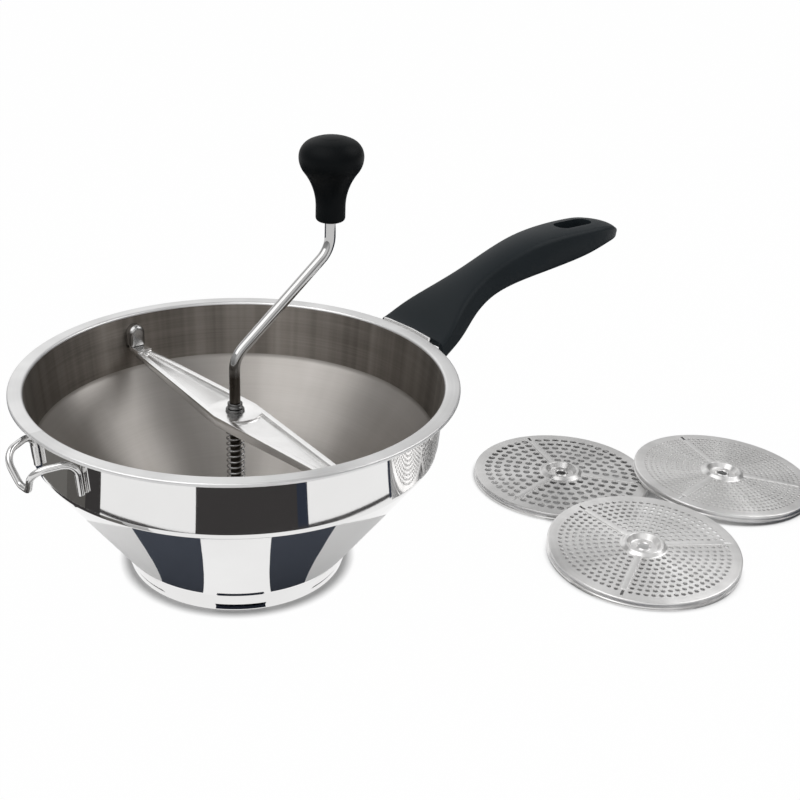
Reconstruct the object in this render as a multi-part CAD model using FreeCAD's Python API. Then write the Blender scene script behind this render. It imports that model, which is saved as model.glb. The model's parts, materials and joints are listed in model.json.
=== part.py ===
"""Tomato strainer with crank: a hand-cranked food mill with three sieve discs.

Millimetres, +Z up.  The origin is the centre of the outlet, on the surface the
mill stands on.  +X runs along the handle, and the crossbar lies along Y.
"""
import math
import os

import FreeCAD
import Part
from FreeCAD import Rotation, Vector

# ---------------------------------------------------------------- driving sizes
# Bowl, pressed from one sheet
SHEET = 0.8                 # wall of the bowl
RIM_RADIUS = 120.0          # outside of the rim, a nominal 24 cm mill
RIM_HEIGHT = 109.2          # top of the rim above the surface
RIM_WIDTH = 8.2             # flat of the rim, outside edge to mouth
RIM_HEM = 1.8               # turned-down edge of the rim
WALL_DRAFT = 2.9            # how much the wall narrows from rim to shoulder
SHOULDER_HEIGHT = 75.2
FOOT_HEIGHT = 12.1          # top of the foot ring
FOOT_TOP_RADIUS = 62.4      # inside, where the cone meets the foot
FOOT_RADIUS = 58.8          # inside, at the bottom of the foot
OUTLET_RADIUS = 49.5        # clear opening inside the seat of the disc
SEAT_BEND = 1.6             # inside bend radii, from the seat up to the rim
FOOT_BEND = 2.4
SHOULDER_BEND = 5.0
MOUTH_BEND = 1.6
RIM_BEND = 1.0

# Hoods that hold the crossbar down
HOOD_WIDTH = 10.5
HOOD_HEIGHT = 12.5
HOOD_DEPTH = 5.2
HOOD_WALL = 1.2
HOOD_ROUND = 2.86           # rounding of the hood's front edge

# Crossbar
BAR_TOP = 89.6              # top face above the surface
BAR_HALF_WIDTH = 13.5       # half width at the middle
BAR_TIP_HALF_WIDTH = 4.6
BAR_FLANGE = 5.6            # depth of the turned-down sides at the middle
BAR_TIP_FLANGE = 3.2
BAR_SHEET = 1.2
BAR_BORDER = 3.0            # raised border round each sunken panel
BAR_PANEL_DEPTH = 1.4
BAR_PAD_RADIUS = 15.0       # plain pad round the rod
TAB_LENGTH = 7.5            # stepped-up tab under each hood
TAB_LAP = 3.0               # tab's root on the bar
BAR_END_GAP = 1.6           # end of the tab to the wall

# Bush, rod and spring
ROD_RADIUS = 3.0
BUSH_WALL = 1.6
BUSH_FLANGE_RADIUS = 5.1
BUSH_FLANGE = 1.2
BUSH_LENGTH = 6.4
COLLAR_RADIUS = 4.1
COLLAR_HEIGHT = 3.2
COLLAR_GROOVE = 0.4
WASHER_RADIUS = 6.9
WASHER_THICKNESS = 1.0
SPRING_RADIUS = 4.75        # mean radius of the coil
SPRING_WIRE = 1.0
SPRING_TURNS = 14
SPRING_SIDES = 4            # flats on the drawn wire

# Crank
CRANK_REACH = 62.5          # axis of the mill to axis of the knob
LOWER_BEND_HEIGHT = 120.0
UPPER_BEND_HEIGHT = 168.6
CRANK_BEND = 15.0           # bend radius on the rod's axis
ROD_TIP_HEIGHT = 1.6

# Blade
BLADE_RADIUS = 48.5
BLADE_BASE = 9.6            # lower edge above the surface
BLADE_RISE = 17.0
BLADE_SWEEP = 150.0         # degrees covered by each lobe
BLADE_SHEET = 1.5
BLADE_ROOT = 0.5            # each lobe starts this deep in the hub, then is trimmed to it
HUB_RADIUS = 7.0
HUB_BASE = 8.8
HUB_HEIGHT = 22.0
PIN_RADIUS = 1.25
PIN_PROUD = 0.6
PIN_BELOW_TOP = 5.0         # pin's axis below the hub's top

# Knob
KNOB_BASE = 184.5
KNOB_HEIGHT = 45.9
KNOB_RADIUS = 17.3
KNOB_NECK_RADIUS = 8.0
KNOB_NECK_HEIGHT = 8.0      # straight neck, from the knob's foot
KNOB_FOOT_ROUND = 2.2
KNOB_BELLY_HEIGHT = 34.8    # widest place, from the knob's foot
KNOB_CHEEK = 13.1           # arc below the widest place
KNOB_SHOULDER = 9.5         # arc above the widest place
KNOB_RECESS_RADIUS = 7.4
KNOB_RECESS_DEPTH = 9.5
KNOB_CAP_HEIGHT = 3.4
STOP_RADIUS = 4.6
STOP_HEIGHT = 1.6
RETAINER_RADIUS = 6.2
RETAINER_HEIGHT = 1.2
ROD_PROUD = 1.4             # rod's end above the retainer

# Handle
HANDLE_START = 123.5        # front of the handle from the mill's axis
HANDLE_END = 288.0
HANDLE_WALL = 3.2
HANDLE_CORNER = 2.6         # rounding of the four long corners
CORNER_OF_DEPTH = 0.28      # most of a section's depth that a corner takes
CORNER_OF_WIDTH = 0.4       # most of its half width
HANDLE_CROWN = 0.9          # bulge of the top face
CROWN_FALL = 0.2            # share of the bulge by which the top's edges fall
FLANK_START = 0.2           # share of the flare gained over the upper corner
HOLLOW_STATIONS = 4         # sections covered by the hollow front
HOLLOW_BELOW = 8.0          # how far the hollow's cutter reaches below the handle
HANG_HOLE_CENTRE = 251.0
HANG_HOLE_LENGTH = 28.0
HANG_HOLE_WIDTH = 12.0
# Three points of the arc round an upper and a lower corner, in shares of the rounding:
# inwards from the side, and down from the top or up from the underside.
UPPER_CORNER = [(1.0, 0.0), (0.2, 0.45), (0.0, 1.2)]
LOWER_CORNER = [(0.0, 1.1), (0.3, 0.3), (1.1, 0.0)]
# Sections along the handle: share of its length, height of the top, depth,
# width of the top face, extra width of the underside.
HANDLE_STATIONS = [
    (0.00, 107.8, 11.5, 54.0, 2.0),
    (0.07, 115.5, 11.5, 46.5, 3.0),
    (0.16, 125.0, 12.2, 33.0, 6.0),
    (0.26, 133.0, 12.6, 24.2, 8.0),
    (0.38, 140.6, 15.4, 22.2, 8.5),
    (0.52, 146.6, 18.2, 23.9, 8.5),
    (0.66, 148.6, 17.8, 26.3, 7.0),
    (0.80, 148.4, 14.7, 27.7, 5.0),
    (0.91, 146.6, 10.6, 24.5, 3.4),
    (0.975, 142.4, 7.2, 16.5, 2.0),
    (1.00, 139.0, 4.0, 8.0, 1.0),
]

# Bracket between the bowl and the handle, with its tongue and screw
BRACKET_SHEET = 1.4
BRACKET_HALF_ANGLE = 9.5    # degrees of wall that the bracket hugs each side
BRACKET_BASE = 88.0
BRACKET_DROP = 1.2          # shelf below the rim's hem
BRACKET_PROUD = 0.8         # upstand above the rim
TONGUE_WIDTH = 16.0
TONGUE_THICKNESS = 3.0
TONGUE_ROOT = 8.0           # start of the tongue outside the mouth
TONGUE_BASE = 100.2         # underside of the tongue at its root
TONGUE_SLOPE = 27.0         # degrees
TONGUE_END = 182.0
SCREW_STATION = 171.0       # where the handle screw crosses the tongue
SCREW_RADIUS = 2.0
SCREW_HEAD_RADIUS = 3.9
SCREW_HEAD = 2.4
SCREW_SEAT = 1.8            # handle left between the screw's head and the tongue
SCREW_PAST = 1.0            # end of the screw above the tongue
SCREW_SLOT = 1.0            # width and depth of the driving slot
COUNTERBORE = 20.0          # reach of the counterbore below the screw's seat

# Pan hook
HOOK_AZIMUTH = 185.0        # degrees round the bowl from the handle
HOOK_WIRE = 3.6
HOOK_SPREAD = 41.0          # between the two legs
HOOK_TOP = 103.6            # both arches
HOOK_FOOT = 85.5            # lower ends of the legs
HOOK_SHOULDER = (132.5, 12.5, 101.5)    # where each arm turns down: out, across, up
HOOK_TIP = (130.0, 4.0, 87.5)           # lowest corners of the loop
HOOK_ARCH_BEND = 7.5
HOOK_SHOULDER_BEND = 9.0
HOOK_TIP_BEND = 4.0

# Sieve discs
DISC_RADIUS = 53.5
DISC_SHEET = 0.8
DISC_SKIRT = 4.5
DISC_CHAMFER = 1.0          # between the border and the skirt
DISC_BORDER = 5.2           # plain border outside the holes
DISC_CROWN = 2.8            # hub ring above the sieve field
DISC_HUB_RADIUS = 10.8
DISC_HUB_FLAT = 1.4         # flat of the hub ring
DISC_HUB_RUN = 2.0          # sloping part outside it
DISC_CUP_RADIUS = 7.4
DISC_CUP_DEPTH = 3.0
DISC_HOLE_CLEARANCE = 0.5   # centre hole round the rod's tip
HOLE_MARGIN = 1.0           # sieve holes to the hub and to the border
RIB_WIDTH = 6.0             # plain strips between the sectors of holes
RIB_COUNT = 3
SLOT_LENGTH = 4.6           # slot through the border at the end of each rib
SLOT_WIDTH = 1.5
SLOT_CENTRE = 48.2          # from the disc's axis
COARSE_HOLE = 4.0
COARSE_RINGS = 4
COARSE_PITCH = 9.6          # along each ring
COARSE_RIBS = -51.0         # bearing of a rib, degrees
MEDIUM_HOLE = 2.8
MEDIUM_RINGS = 4
MEDIUM_PITCH = 9.2
MEDIUM_RIBS = -32.0
FINE_HOLE = 1.8
FINE_RINGS = 5
FINE_PITCH = 9.6
FINE_RIBS = -51.0
COARSE_PLACE = (214.0, -44.0)
FINE_BEARING = -38.0        # degrees, fine disc seen from the coarse disc
MEDIUM_BEARING = -108.0     # medium disc seen from the coarse disc
FINE_OVERLAP = 8.0          # fine disc over the coarse disc
MEDIUM_OVERLAP = 10.0       # medium disc over the coarse disc
MOST_TILT = 12.0            # degrees, steepest lean that is tried
TILT_STEPS = 9              # halvings of the lean

# Clearances
RUNNING_FIT = 0.05          # radial, a shaft that turns in its hole
AXIAL_PLAY = 0.1            # between faces that turn on each other
SEAT_GAP = 0.3              # between loose pieces that rest on each other
ASSEMBLY_GAP = 0.1          # between fixed pieces that slip together
CUT_PAST = 1.0              # how far a cutting tool runs past a face

UP = Vector(0, 0, 1)
ORIGIN = Vector(0, 0, 0)
FAR = 400.0                 # longer than the part, for cutting tools
NEAR = 0.1                  # closer than any two edges of a piece


# ---------------------------------------------------------------- helpers
def cylinder(radius, z_low, z_high, x=0.0, y=0.0):
    """Upright cylinder between two heights."""
    return Part.makeCylinder(radius, z_high - z_low, Vector(x, y, z_low))


def tube(outer, inner, z_low, z_high, x=0.0, y=0.0):
    """Upright tube between two heights."""
    bore = cylinder(inner, z_low - CUT_PAST, z_high + CUT_PAST, x, y)
    return cylinder(outer, z_low, z_high, x, y).cut(bore)


def polygon_prism(points, z_low, z_high):
    """Upright prism over a plan outline."""
    corners = [Vector(x, y, z_low) for x, y in points]
    face = Part.Face(Part.makePolygon(corners + corners[:1]))
    return face.extrude(Vector(0, 0, z_high - z_low))


def offset_path(points, distance):
    """Polyline moved sideways, to the right of its direction."""
    lines = []
    for (x0, y0), (x1, y1) in zip(points, points[1:]):
        length = math.hypot(x1 - x0, y1 - y0)
        nx = (y1 - y0) / length * distance
        ny = -(x1 - x0) / length * distance
        lines.append(((x0 + nx, y0 + ny), (x1 + nx, y1 + ny)))
    moved = [lines[0][0]]
    for (a, b), (c, d) in zip(lines, lines[1:]):
        ux, uy = b[0] - a[0], b[1] - a[1]
        vx, vy = d[0] - c[0], d[1] - c[1]
        t = ((c[0] - a[0]) * vy - (c[1] - a[1]) * vx) / (ux * vy - uy * vx)
        moved.append((a[0] + ux * t, a[1] + uy * t))
    moved.append(lines[-1][1])
    return moved


def rounded_edges(points, radii, place):
    """Lines and tangent arcs along a polyline; radii are for its inner corners."""
    corners = [place(*p) for p in points]
    edges = []
    start = corners[0]
    for before, corner, after, radius in zip(corners, corners[1:], corners[2:], radii):
        back = (before - corner).normalize()
        ahead = (after - corner).normalize()
        half = math.acos(max(-1.0, min(1.0, back.dot(ahead)))) / 2
        if radius > 0:
            reach = radius / math.tan(half)
            middle = (back + ahead).normalize()
            centre = corner + middle * (radius / math.sin(half))
            first = corner + back * reach
            last = corner + ahead * reach
            edges.append(Part.LineSegment(start, first).toShape())
            edges.append(Part.Arc(first, centre - middle * radius, last).toShape())
            start = last
        else:
            edges.append(Part.LineSegment(start, corner).toShape())
            start = corner
    edges.append(Part.LineSegment(start, corners[-1]).toShape())
    return edges


def on_plane(r, z):
    """Point of a turned piece's outline."""
    return Vector(r, 0, z)


def arc_about(centre, start, end):
    """Shorter arc between two points round a centre."""
    radius = (start - centre).Length
    middle = ((start - centre) + (end - centre)).normalize()
    return Part.Arc(start, centre + middle * radius, end).toShape()


def sheet_profile(points, radii, thickness):
    """Closed profile (r, z) of a sheet whose left face follows the points."""
    right = offset_path(points, thickness)
    right_radii = []
    for i, radius in enumerate(radii):
        (x0, y0), (x1, y1), (x2, y2) = points[i:i + 3]
        turn = (x1 - x0) * (y2 - y1) - (y1 - y0) * (x2 - x1)
        right_radii.append(radius + thickness if turn > 0 else max(radius - thickness, 0.0))
    left_edges = rounded_edges(points, radii, on_plane)
    right_edges = rounded_edges(right, right_radii, on_plane)
    ends = [Part.LineSegment(on_plane(*points[-1]), on_plane(*right[-1])).toShape(),
            Part.LineSegment(on_plane(*right[0]), on_plane(*points[0])).toShape()]
    wire = Part.Wire(Part.__sortEdges__(left_edges + right_edges + ends))
    return Part.Face(wire)


def revolve(face):
    return face.revolve(ORIGIN, UP, 360)


def turned(points):
    """Solid of revolution from a closed (r, z) outline of straight lines."""
    corners = [on_plane(r, z) for r, z in points]
    return revolve(Part.Face(Part.makePolygon(corners + corners[:1])))


def wire_rod(points, bends, radius):
    """Round rod along straight runs joined by tangent arcs."""
    edges = rounded_edges(points, bends, Vector)
    path = Part.Wire(edges)
    start = Vector(*points[0])
    direction = Vector(*points[1]) - start
    section = Part.Wire(Part.makeCircle(radius, start, direction))
    return path.makePipeShell([section], True, False)


def save(shape, node):
    if shape.ShapeType == "Compound" and len(shape.Solids) == 1:
        shape = shape.Solids[0]
    shape.exportStep("parts/%s.step" % node)


# ---------------------------------------------------------------- bowl
MOUTH_RADIUS = RIM_RADIUS - RIM_WIDTH
SHOULDER_RADIUS = MOUTH_RADIUS - WALL_DRAFT


def inner_wall_radius(z):
    """Inside radius of the upright wall at a height."""
    share = (z - SHOULDER_HEIGHT) / (RIM_HEIGHT - SHOULDER_HEIGHT)
    return SHOULDER_RADIUS + WALL_DRAFT * share


def outer_wall_radius(z):
    """Outside radius of the upright wall, its sheet measured square to the draft."""
    slope = math.atan2(WALL_DRAFT, RIM_HEIGHT - SHOULDER_HEIGHT)
    return inner_wall_radius(z) + SHEET / math.cos(slope)


def make_bowl():
    inside = [(OUTLET_RADIUS, SHEET),
              (FOOT_RADIUS, SHEET),
              (FOOT_TOP_RADIUS, FOOT_HEIGHT),
              (SHOULDER_RADIUS, SHOULDER_HEIGHT),
              (MOUTH_RADIUS, RIM_HEIGHT),
              (RIM_RADIUS, RIM_HEIGHT),
              (RIM_RADIUS, RIM_HEIGHT - RIM_HEM)]
    bends = [SEAT_BEND, FOOT_BEND, SHOULDER_BEND, MOUTH_BEND, RIM_BEND]
    return revolve(sheet_profile(inside, bends, SHEET))


def wall_core(gap=0.0):
    """Everything inside the upright wall, for trimming what seats on it."""
    low, high = SHOULDER_HEIGHT, RIM_HEIGHT
    return Part.makeCone(inner_wall_radius(low) - gap, inner_wall_radius(high) - gap,
                         high - low, Vector(0, 0, low))


def wall_plug(gap=0.0):
    """The bowl filled up to the outside of its upright wall."""
    low, high = SHOULDER_HEIGHT, RIM_HEIGHT
    return Part.makeCone(outer_wall_radius(low) + gap, outer_wall_radius(high) + gap,
                         high - low, Vector(0, 0, low))


# ---------------------------------------------------------------- hoods
TAB_TOP = BAR_TOP + BAR_SHEET
HOOD_BASE = TAB_TOP + SEAT_GAP


def make_hood(side):
    """Domed hood pressed on the wall, open below, over one end of the crossbar."""
    half = HOOD_WIDTH / 2
    top = HOOD_BASE + HOOD_HEIGHT
    front = inner_wall_radius(HOOD_BASE) - HOOD_DEPTH
    deep = inner_wall_radius(top) - front + CUT_PAST

    def arch(inset, low):
        """Round-topped block that runs from the hood's front into the wall."""
        r = half - inset
        spring_line = top - half
        a = Vector(-r, front + inset, low)
        b = Vector(-r, front + inset, spring_line)
        c = Vector(0, front + inset, spring_line + r)
        d = Vector(r, front + inset, spring_line)
        e = Vector(r, front + inset, low)
        edges = [Part.LineSegment(a, b).toShape(), Part.Arc(b, c, d).toShape(),
                 Part.LineSegment(d, e).toShape(), Part.LineSegment(e, a).toShape()]
        return Part.Face(Part.Wire(edges)).extrude(Vector(0, deep, 0))

    def is_front(edge):
        box = edge.BoundBox
        return box.YMax < front + NEAR and box.ZMax > HOOD_BASE + NEAR

    outside = arch(0.0, HOOD_BASE)
    outside = outside.makeFillet(HOOD_ROUND, [edge for edge in outside.Edges if is_front(edge)])
    hood = outside.cut(arch(HOOD_WALL, HOOD_BASE - CUT_PAST))
    hood = hood.common(wall_core())
    if side < 0:
        hood = hood.mirror(ORIGIN, Vector(0, 1, 0))
    return hood


# ---------------------------------------------------------------- crossbar
BAR_END = inner_wall_radius(BAR_TOP) - BAR_END_GAP
BAR_SHOULDER = BAR_END - TAB_LENGTH


def bar_outline(inset):
    """Boat-shaped plan of the crossbar, moved inwards by the inset."""
    slope = math.atan2(BAR_HALF_WIDTH - BAR_TIP_HALF_WIDTH, BAR_SHOULDER)
    middle = BAR_HALF_WIDTH - inset / math.cos(slope)
    end = BAR_SHOULDER - inset
    tip = middle - end * math.tan(slope)
    return [(middle, 0), (tip, end), (-tip, end), (-middle, 0), (-tip, -end), (tip, -end)]


def make_crossbar():
    low = BAR_TOP - BAR_FLANGE
    below = low - CUT_PAST
    bar = polygon_prism(bar_outline(0), low, BAR_TOP)
    ceiling = BAR_TOP - BAR_SHEET - BAR_PANEL_DEPTH
    bar = bar.cut(polygon_prism(bar_outline(BAR_SHEET), below, ceiling))
    # The sides get shallower towards both ends.
    shallow = low + BAR_FLANGE - BAR_TIP_FLANGE
    past = BAR_SHOULDER + CUT_PAST
    for side in (1, -1):
        corners = [(BAR_PAD_RADIUS, below), (BAR_PAD_RADIUS, low), (BAR_SHOULDER, shallow),
                   (past, shallow), (past, below), (BAR_PAD_RADIUS, below)]
        wedge = Part.makePolygon([Vector(-FAR / 2, side * y, z) for y, z in corners])
        bar = bar.cut(Part.Face(wedge).extrude(Vector(FAR, 0, 0)))
    # Two sunken panels leave a border and the pad round the rod.
    floor = BAR_TOP - BAR_PANEL_DEPTH
    panels = polygon_prism(bar_outline(BAR_BORDER), floor, BAR_TOP + CUT_PAST)
    pad = cylinder(BAR_PAD_RADIUS, floor - CUT_PAST, BAR_TOP + 2 * CUT_PAST)
    bar = bar.cut(panels.cut(pad))
    # Stepped-up tabs that slip under the hoods.
    half = BAR_TIP_HALF_WIDTH
    for side in (1, -1):
        root, end = side * (BAR_SHOULDER - TAB_LAP), side * BAR_END
        tab = polygon_prism([(-half, root), (half, root), (half, end), (-half, end)],
                            BAR_TOP - BAR_SHEET, TAB_TOP)
        bar = bar.fuse(tab)
    bar = bar.common(cylinder(BAR_END, below, TAB_TOP + CUT_PAST))
    bar = bar.cut(cylinder(ROD_RADIUS + RUNNING_FIT + BUSH_WALL, below, BAR_TOP + CUT_PAST))
    return bar.removeSplitter()


def make_bar_bush():
    bore = ROD_RADIUS + RUNNING_FIT
    flange_top = BAR_TOP + BUSH_FLANGE
    bush = tube(BUSH_FLANGE_RADIUS, bore, BAR_TOP, flange_top)
    return bush.fuse(tube(bore + BUSH_WALL, bore, flange_top - BUSH_LENGTH, BAR_TOP)).removeSplitter()


# ---------------------------------------------------------------- crank
BUSH_TOP = BAR_TOP + BUSH_FLANGE
BUSH_LOW = BUSH_TOP - BUSH_LENGTH
UPPER_WASHER_TOP = BUSH_LOW - AXIAL_PLAY
SPRING_TOP = UPPER_WASHER_TOP - WASHER_THICKNESS
HUB_TOP = HUB_BASE + HUB_HEIGHT
SPRING_BOTTOM = HUB_TOP + WASHER_THICKNESS
ROD_END = KNOB_BASE + KNOB_HEIGHT - KNOB_RECESS_DEPTH + RETAINER_HEIGHT + ROD_PROUD
PIN_HEIGHT = HUB_TOP - PIN_BELOW_TOP


def pin_hole(radius):
    half = HUB_RADIUS + PIN_PROUD + CUT_PAST
    return Part.makeCylinder(radius, 2 * half, Vector(0, -half, PIN_HEIGHT), Vector(0, 1, 0))


def make_crank_rod():
    path = [(0, 0, ROD_TIP_HEIGHT), (0, 0, LOWER_BEND_HEIGHT),
            (CRANK_REACH, 0, UPPER_BEND_HEIGHT), (CRANK_REACH, 0, ROD_END)]
    rod = wire_rod(path, [CRANK_BEND, CRANK_BEND], ROD_RADIUS)
    return rod.cut(pin_hole(PIN_RADIUS))


def make_crank_collar():
    low = BUSH_TOP + AXIAL_PLAY
    high = low + COLLAR_HEIGHT
    groove = low + COLLAR_HEIGHT / 2
    outline = [(ROD_RADIUS, low), (COLLAR_RADIUS, low), (COLLAR_RADIUS, groove - COLLAR_GROOVE),
               (COLLAR_RADIUS - COLLAR_GROOVE, groove), (COLLAR_RADIUS, groove + COLLAR_GROOVE),
               (COLLAR_RADIUS, high - COLLAR_GROOVE), (COLLAR_RADIUS - COLLAR_GROOVE, high),
               (ROD_RADIUS, high)]
    return turned(outline)


def make_spring():
    """Open coil between the two washers."""
    half_wire = SPRING_WIRE / 2
    height = SPRING_TOP - SPRING_BOTTOM - SPRING_WIRE - 2 * AXIAL_PLAY
    helix = Part.makeHelix(height / SPRING_TURNS, height, SPRING_RADIUS)
    corners = []
    for k in range(SPRING_SIDES):
        angle = 2 * math.pi * k / SPRING_SIDES
        corners.append(Vector(SPRING_RADIUS + half_wire * math.cos(angle), 0,
                              half_wire * math.sin(angle)))
    section = Part.makePolygon(corners + corners[:1])
    coil = Part.Wire(helix).makePipeShell([section], True, True)
    coil.translate(Vector(0, 0, SPRING_BOTTOM + half_wire + AXIAL_PLAY))
    return coil


def make_washer(z_low):
    return tube(WASHER_RADIUS, ROD_RADIUS + ASSEMBLY_GAP, z_low, z_low + WASHER_THICKNESS)


def make_blade():
    """Two helicoid lobes that press the food down through the disc."""
    pitch = BLADE_RISE * 360.0 / BLADE_SWEEP
    inner = Part.makeHelix(pitch, BLADE_RISE, HUB_RADIUS - BLADE_ROOT)
    outer = Part.makeHelix(pitch, BLADE_RISE, BLADE_RADIUS)
    lobe = Part.makeRuledSurface(inner.Edges[0], outer.Edges[0]).extrude(UP * BLADE_SHEET)
    lobe = Part.Solid(lobe.Shells[0]) if not lobe.Solids else lobe.Solids[0]
    if lobe.Volume < 0:
        lobe.reverse()
    lobe.translate(UP * BLADE_BASE)
    lobe = lobe.cut(cylinder(HUB_RADIUS, 0, FAR))
    other = lobe.copy()
    other.rotate(ORIGIN, UP, 180)
    return [lobe, other]


def make_blade_hub():
    hub = tube(HUB_RADIUS, ROD_RADIUS, HUB_BASE, HUB_TOP)
    return hub.cut(pin_hole(PIN_RADIUS))


def make_hub_pin():
    length = 2 * (HUB_RADIUS + PIN_PROUD)
    return Part.makeCylinder(PIN_RADIUS, length, Vector(0, -length / 2, PIN_HEIGHT), Vector(0, 1, 0))


# ---------------------------------------------------------------- knob
KNOB_TOP = KNOB_BASE + KNOB_HEIGHT
KNOB_FLOOR = KNOB_TOP - KNOB_RECESS_DEPTH
CAP_BASE = KNOB_TOP - KNOB_CAP_HEIGHT


def knob_form():
    """Pear-shaped solid: rounded foot, neck, hollow waist, cheek, shoulder and dome,
    each arc touching the next."""
    belly = KNOB_BASE + KNOB_BELLY_HEIGHT
    neck_top = on_plane(KNOB_NECK_RADIUS, KNOB_BASE + KNOB_NECK_HEIGHT)
    widest = on_plane(KNOB_RADIUS, belly)
    top = on_plane(0, KNOB_TOP)
    cheek = on_plane(KNOB_RADIUS - KNOB_CHEEK, belly)
    shoulder = on_plane(KNOB_RADIUS - KNOB_SHOULDER, belly)
    # The waist's arc touches the neck's line and the cheek's arc.
    near = KNOB_NECK_RADIUS - cheek.x
    rise = belly - neck_top.z
    waist_radius = (near ** 2 + rise ** 2 - KNOB_CHEEK ** 2) / (2 * (KNOB_CHEEK - near))
    waist = neck_top + Vector(waist_radius, 0, 0)
    waist_end = cheek + (waist - cheek).normalize() * KNOB_CHEEK
    # The dome's arc has its centre on the axis and touches the shoulder's arc.
    high = KNOB_TOP - belly
    dome_radius = (high ** 2 + shoulder.x ** 2 - KNOB_SHOULDER ** 2) / (2 * (high - KNOB_SHOULDER))
    dome = on_plane(0, KNOB_TOP - dome_radius)
    dome_edge = dome + (shoulder - dome).normalize() * dome_radius

    middle = on_plane(0, KNOB_BASE)
    foot = on_plane(KNOB_NECK_RADIUS - KNOB_FOOT_ROUND, KNOB_BASE)
    round_centre = foot + UP * KNOB_FOOT_ROUND
    neck_low = round_centre + Vector(KNOB_FOOT_ROUND, 0, 0)
    edges = [Part.LineSegment(middle, foot).toShape(),
             arc_about(round_centre, foot, neck_low),
             Part.LineSegment(neck_low, neck_top).toShape(),
             arc_about(waist, neck_top, waist_end),
             arc_about(cheek, waist_end, widest),
             arc_about(shoulder, widest, dome_edge),
             arc_about(dome, dome_edge, top),
             Part.LineSegment(top, middle).toShape()]
    solid = revolve(Part.Face(Part.Wire(edges)))
    solid.translate(Vector(CRANK_REACH, 0, 0))
    return solid


def knob_hole(radius, z_low, z_high):
    return cylinder(radius, z_low, z_high, CRANK_REACH, 0)


def make_knob():
    knob = knob_form()
    knob = knob.cut(knob_hole(ROD_RADIUS + RUNNING_FIT, KNOB_BASE - CUT_PAST, KNOB_FLOOR + CUT_PAST))
    knob = knob.cut(knob_hole(STOP_RADIUS + SEAT_GAP, KNOB_BASE - CUT_PAST,
                              KNOB_BASE + STOP_HEIGHT + AXIAL_PLAY))
    return knob.cut(knob_hole(KNOB_RECESS_RADIUS, KNOB_FLOOR, KNOB_TOP + CUT_PAST))


def make_knob_cap():
    """Domed plug that closes the recess over the rod's end."""
    plug = knob_hole(KNOB_RECESS_RADIUS, CAP_BASE, KNOB_TOP + CUT_PAST)
    return knob_form().common(plug)


def make_knob_stop():
    """Ring pressed on the rod, under the knob."""
    return tube(STOP_RADIUS, ROD_RADIUS, KNOB_BASE, KNOB_BASE + STOP_HEIGHT, CRANK_REACH, 0)


def make_knob_retainer():
    """Push nut on the rod's end that keeps the knob on."""
    low = KNOB_FLOOR + AXIAL_PLAY
    return tube(RETAINER_RADIUS, ROD_RADIUS, low, low + RETAINER_HEIGHT, CRANK_REACH, 0)


# ---------------------------------------------------------------- handle
def handle_x(share):
    return HANDLE_START + (HANDLE_END - HANDLE_START) * share


def handle_section(share, top, depth, width, spread, tilt):
    """Rounded trapezium across the handle, tilted with its run."""
    half_top = width / 2
    half_low = (width + spread) / 2
    corner = min(HANDLE_CORNER, depth * CORNER_OF_DEPTH, half_top * CORNER_OF_WIDTH)
    flank = half_top + (half_low - half_top) * FLANK_START
    # One side from the top's crown down to the underside; the other mirrors it.
    over, middle, down = UPPER_CORNER
    side = [(half_top - corner * over[0], -HANDLE_CROWN * CROWN_FALL),
            (half_top - corner * middle[0], -corner * middle[1]),
            (flank - corner * down[0], -corner * down[1])]
    for inwards, up in LOWER_CORNER:
        side.append((half_low - corner * inwards, corner * up - depth))
    lean = math.radians(tilt)

    def place(y, z):
        return Vector(handle_x(share) - z * math.sin(lean), y, top + z * math.cos(lean))

    crown = place(0, HANDLE_CROWN)
    left = [place(-y, z) for y, z in side]
    right = [place(y, z) for y, z in side]
    edges = [Part.Arc(left[0], crown, right[0]).toShape(),
             Part.Arc(right[0], right[1], right[2]).toShape(),
             Part.LineSegment(right[2], right[3]).toShape(),
             Part.Arc(right[3], right[4], right[5]).toShape(),
             Part.LineSegment(right[5], left[5]).toShape(),
             Part.Arc(left[5], left[4], left[3]).toShape(),
             Part.LineSegment(left[3], left[2]).toShape(),
             Part.Arc(left[2], left[1], left[0]).toShape()]
    return Part.Wire(edges)


def handle_tilts():
    """Lean of each section, from the slope of the top between its neighbours."""
    tilts = [0.0]
    for before, after in zip(HANDLE_STATIONS, HANDLE_STATIONS[2:] + HANDLE_STATIONS[-1:]):
        run = handle_x(after[0]) - handle_x(before[0])
        tilts.append(math.degrees(math.atan2(after[1] - before[1], run)))
    return tilts


def handle_hollow():
    """Cutter for the front, which is open towards the bowl and below."""
    rings = []
    stations = HANDLE_STATIONS[:HOLLOW_STATIONS]
    for (share, top, depth, width, spread), tilt in zip(stations, handle_tilts()):
        half = width / 2 - HANDLE_WALL
        flare = half + spread / 2
        low = -depth - HOLLOW_BELOW
        x = handle_x(share) - (ASSEMBLY_GAP if share == 0 else 0.0)
        lean = math.radians(tilt)
        ring = []
        for y, z in ((-half, -HANDLE_WALL), (half, -HANDLE_WALL), (flare, low), (-flare, low)):
            ring.append(Vector(x - z * math.sin(lean), y, top + z * math.cos(lean)))
        rings.append(Part.makePolygon(ring + ring[:1]))
    return Part.makeLoft(rings, True, True)


def hanging_hole():
    """Upright cutter for the oval hanging hole."""
    half_run = (HANG_HOLE_LENGTH - HANG_HOLE_WIDTH) / 2
    radius = HANG_HOLE_WIDTH / 2
    hole = cylinder(radius, 0, FAR, HANG_HOLE_CENTRE - half_run, 0)
    hole = hole.fuse(cylinder(radius, 0, FAR, HANG_HOLE_CENTRE + half_run, 0))
    return hole.fuse(Part.makeBox(2 * half_run, 2 * radius, FAR,
                                  Vector(HANG_HOLE_CENTRE - half_run, -radius, 0)))


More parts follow.
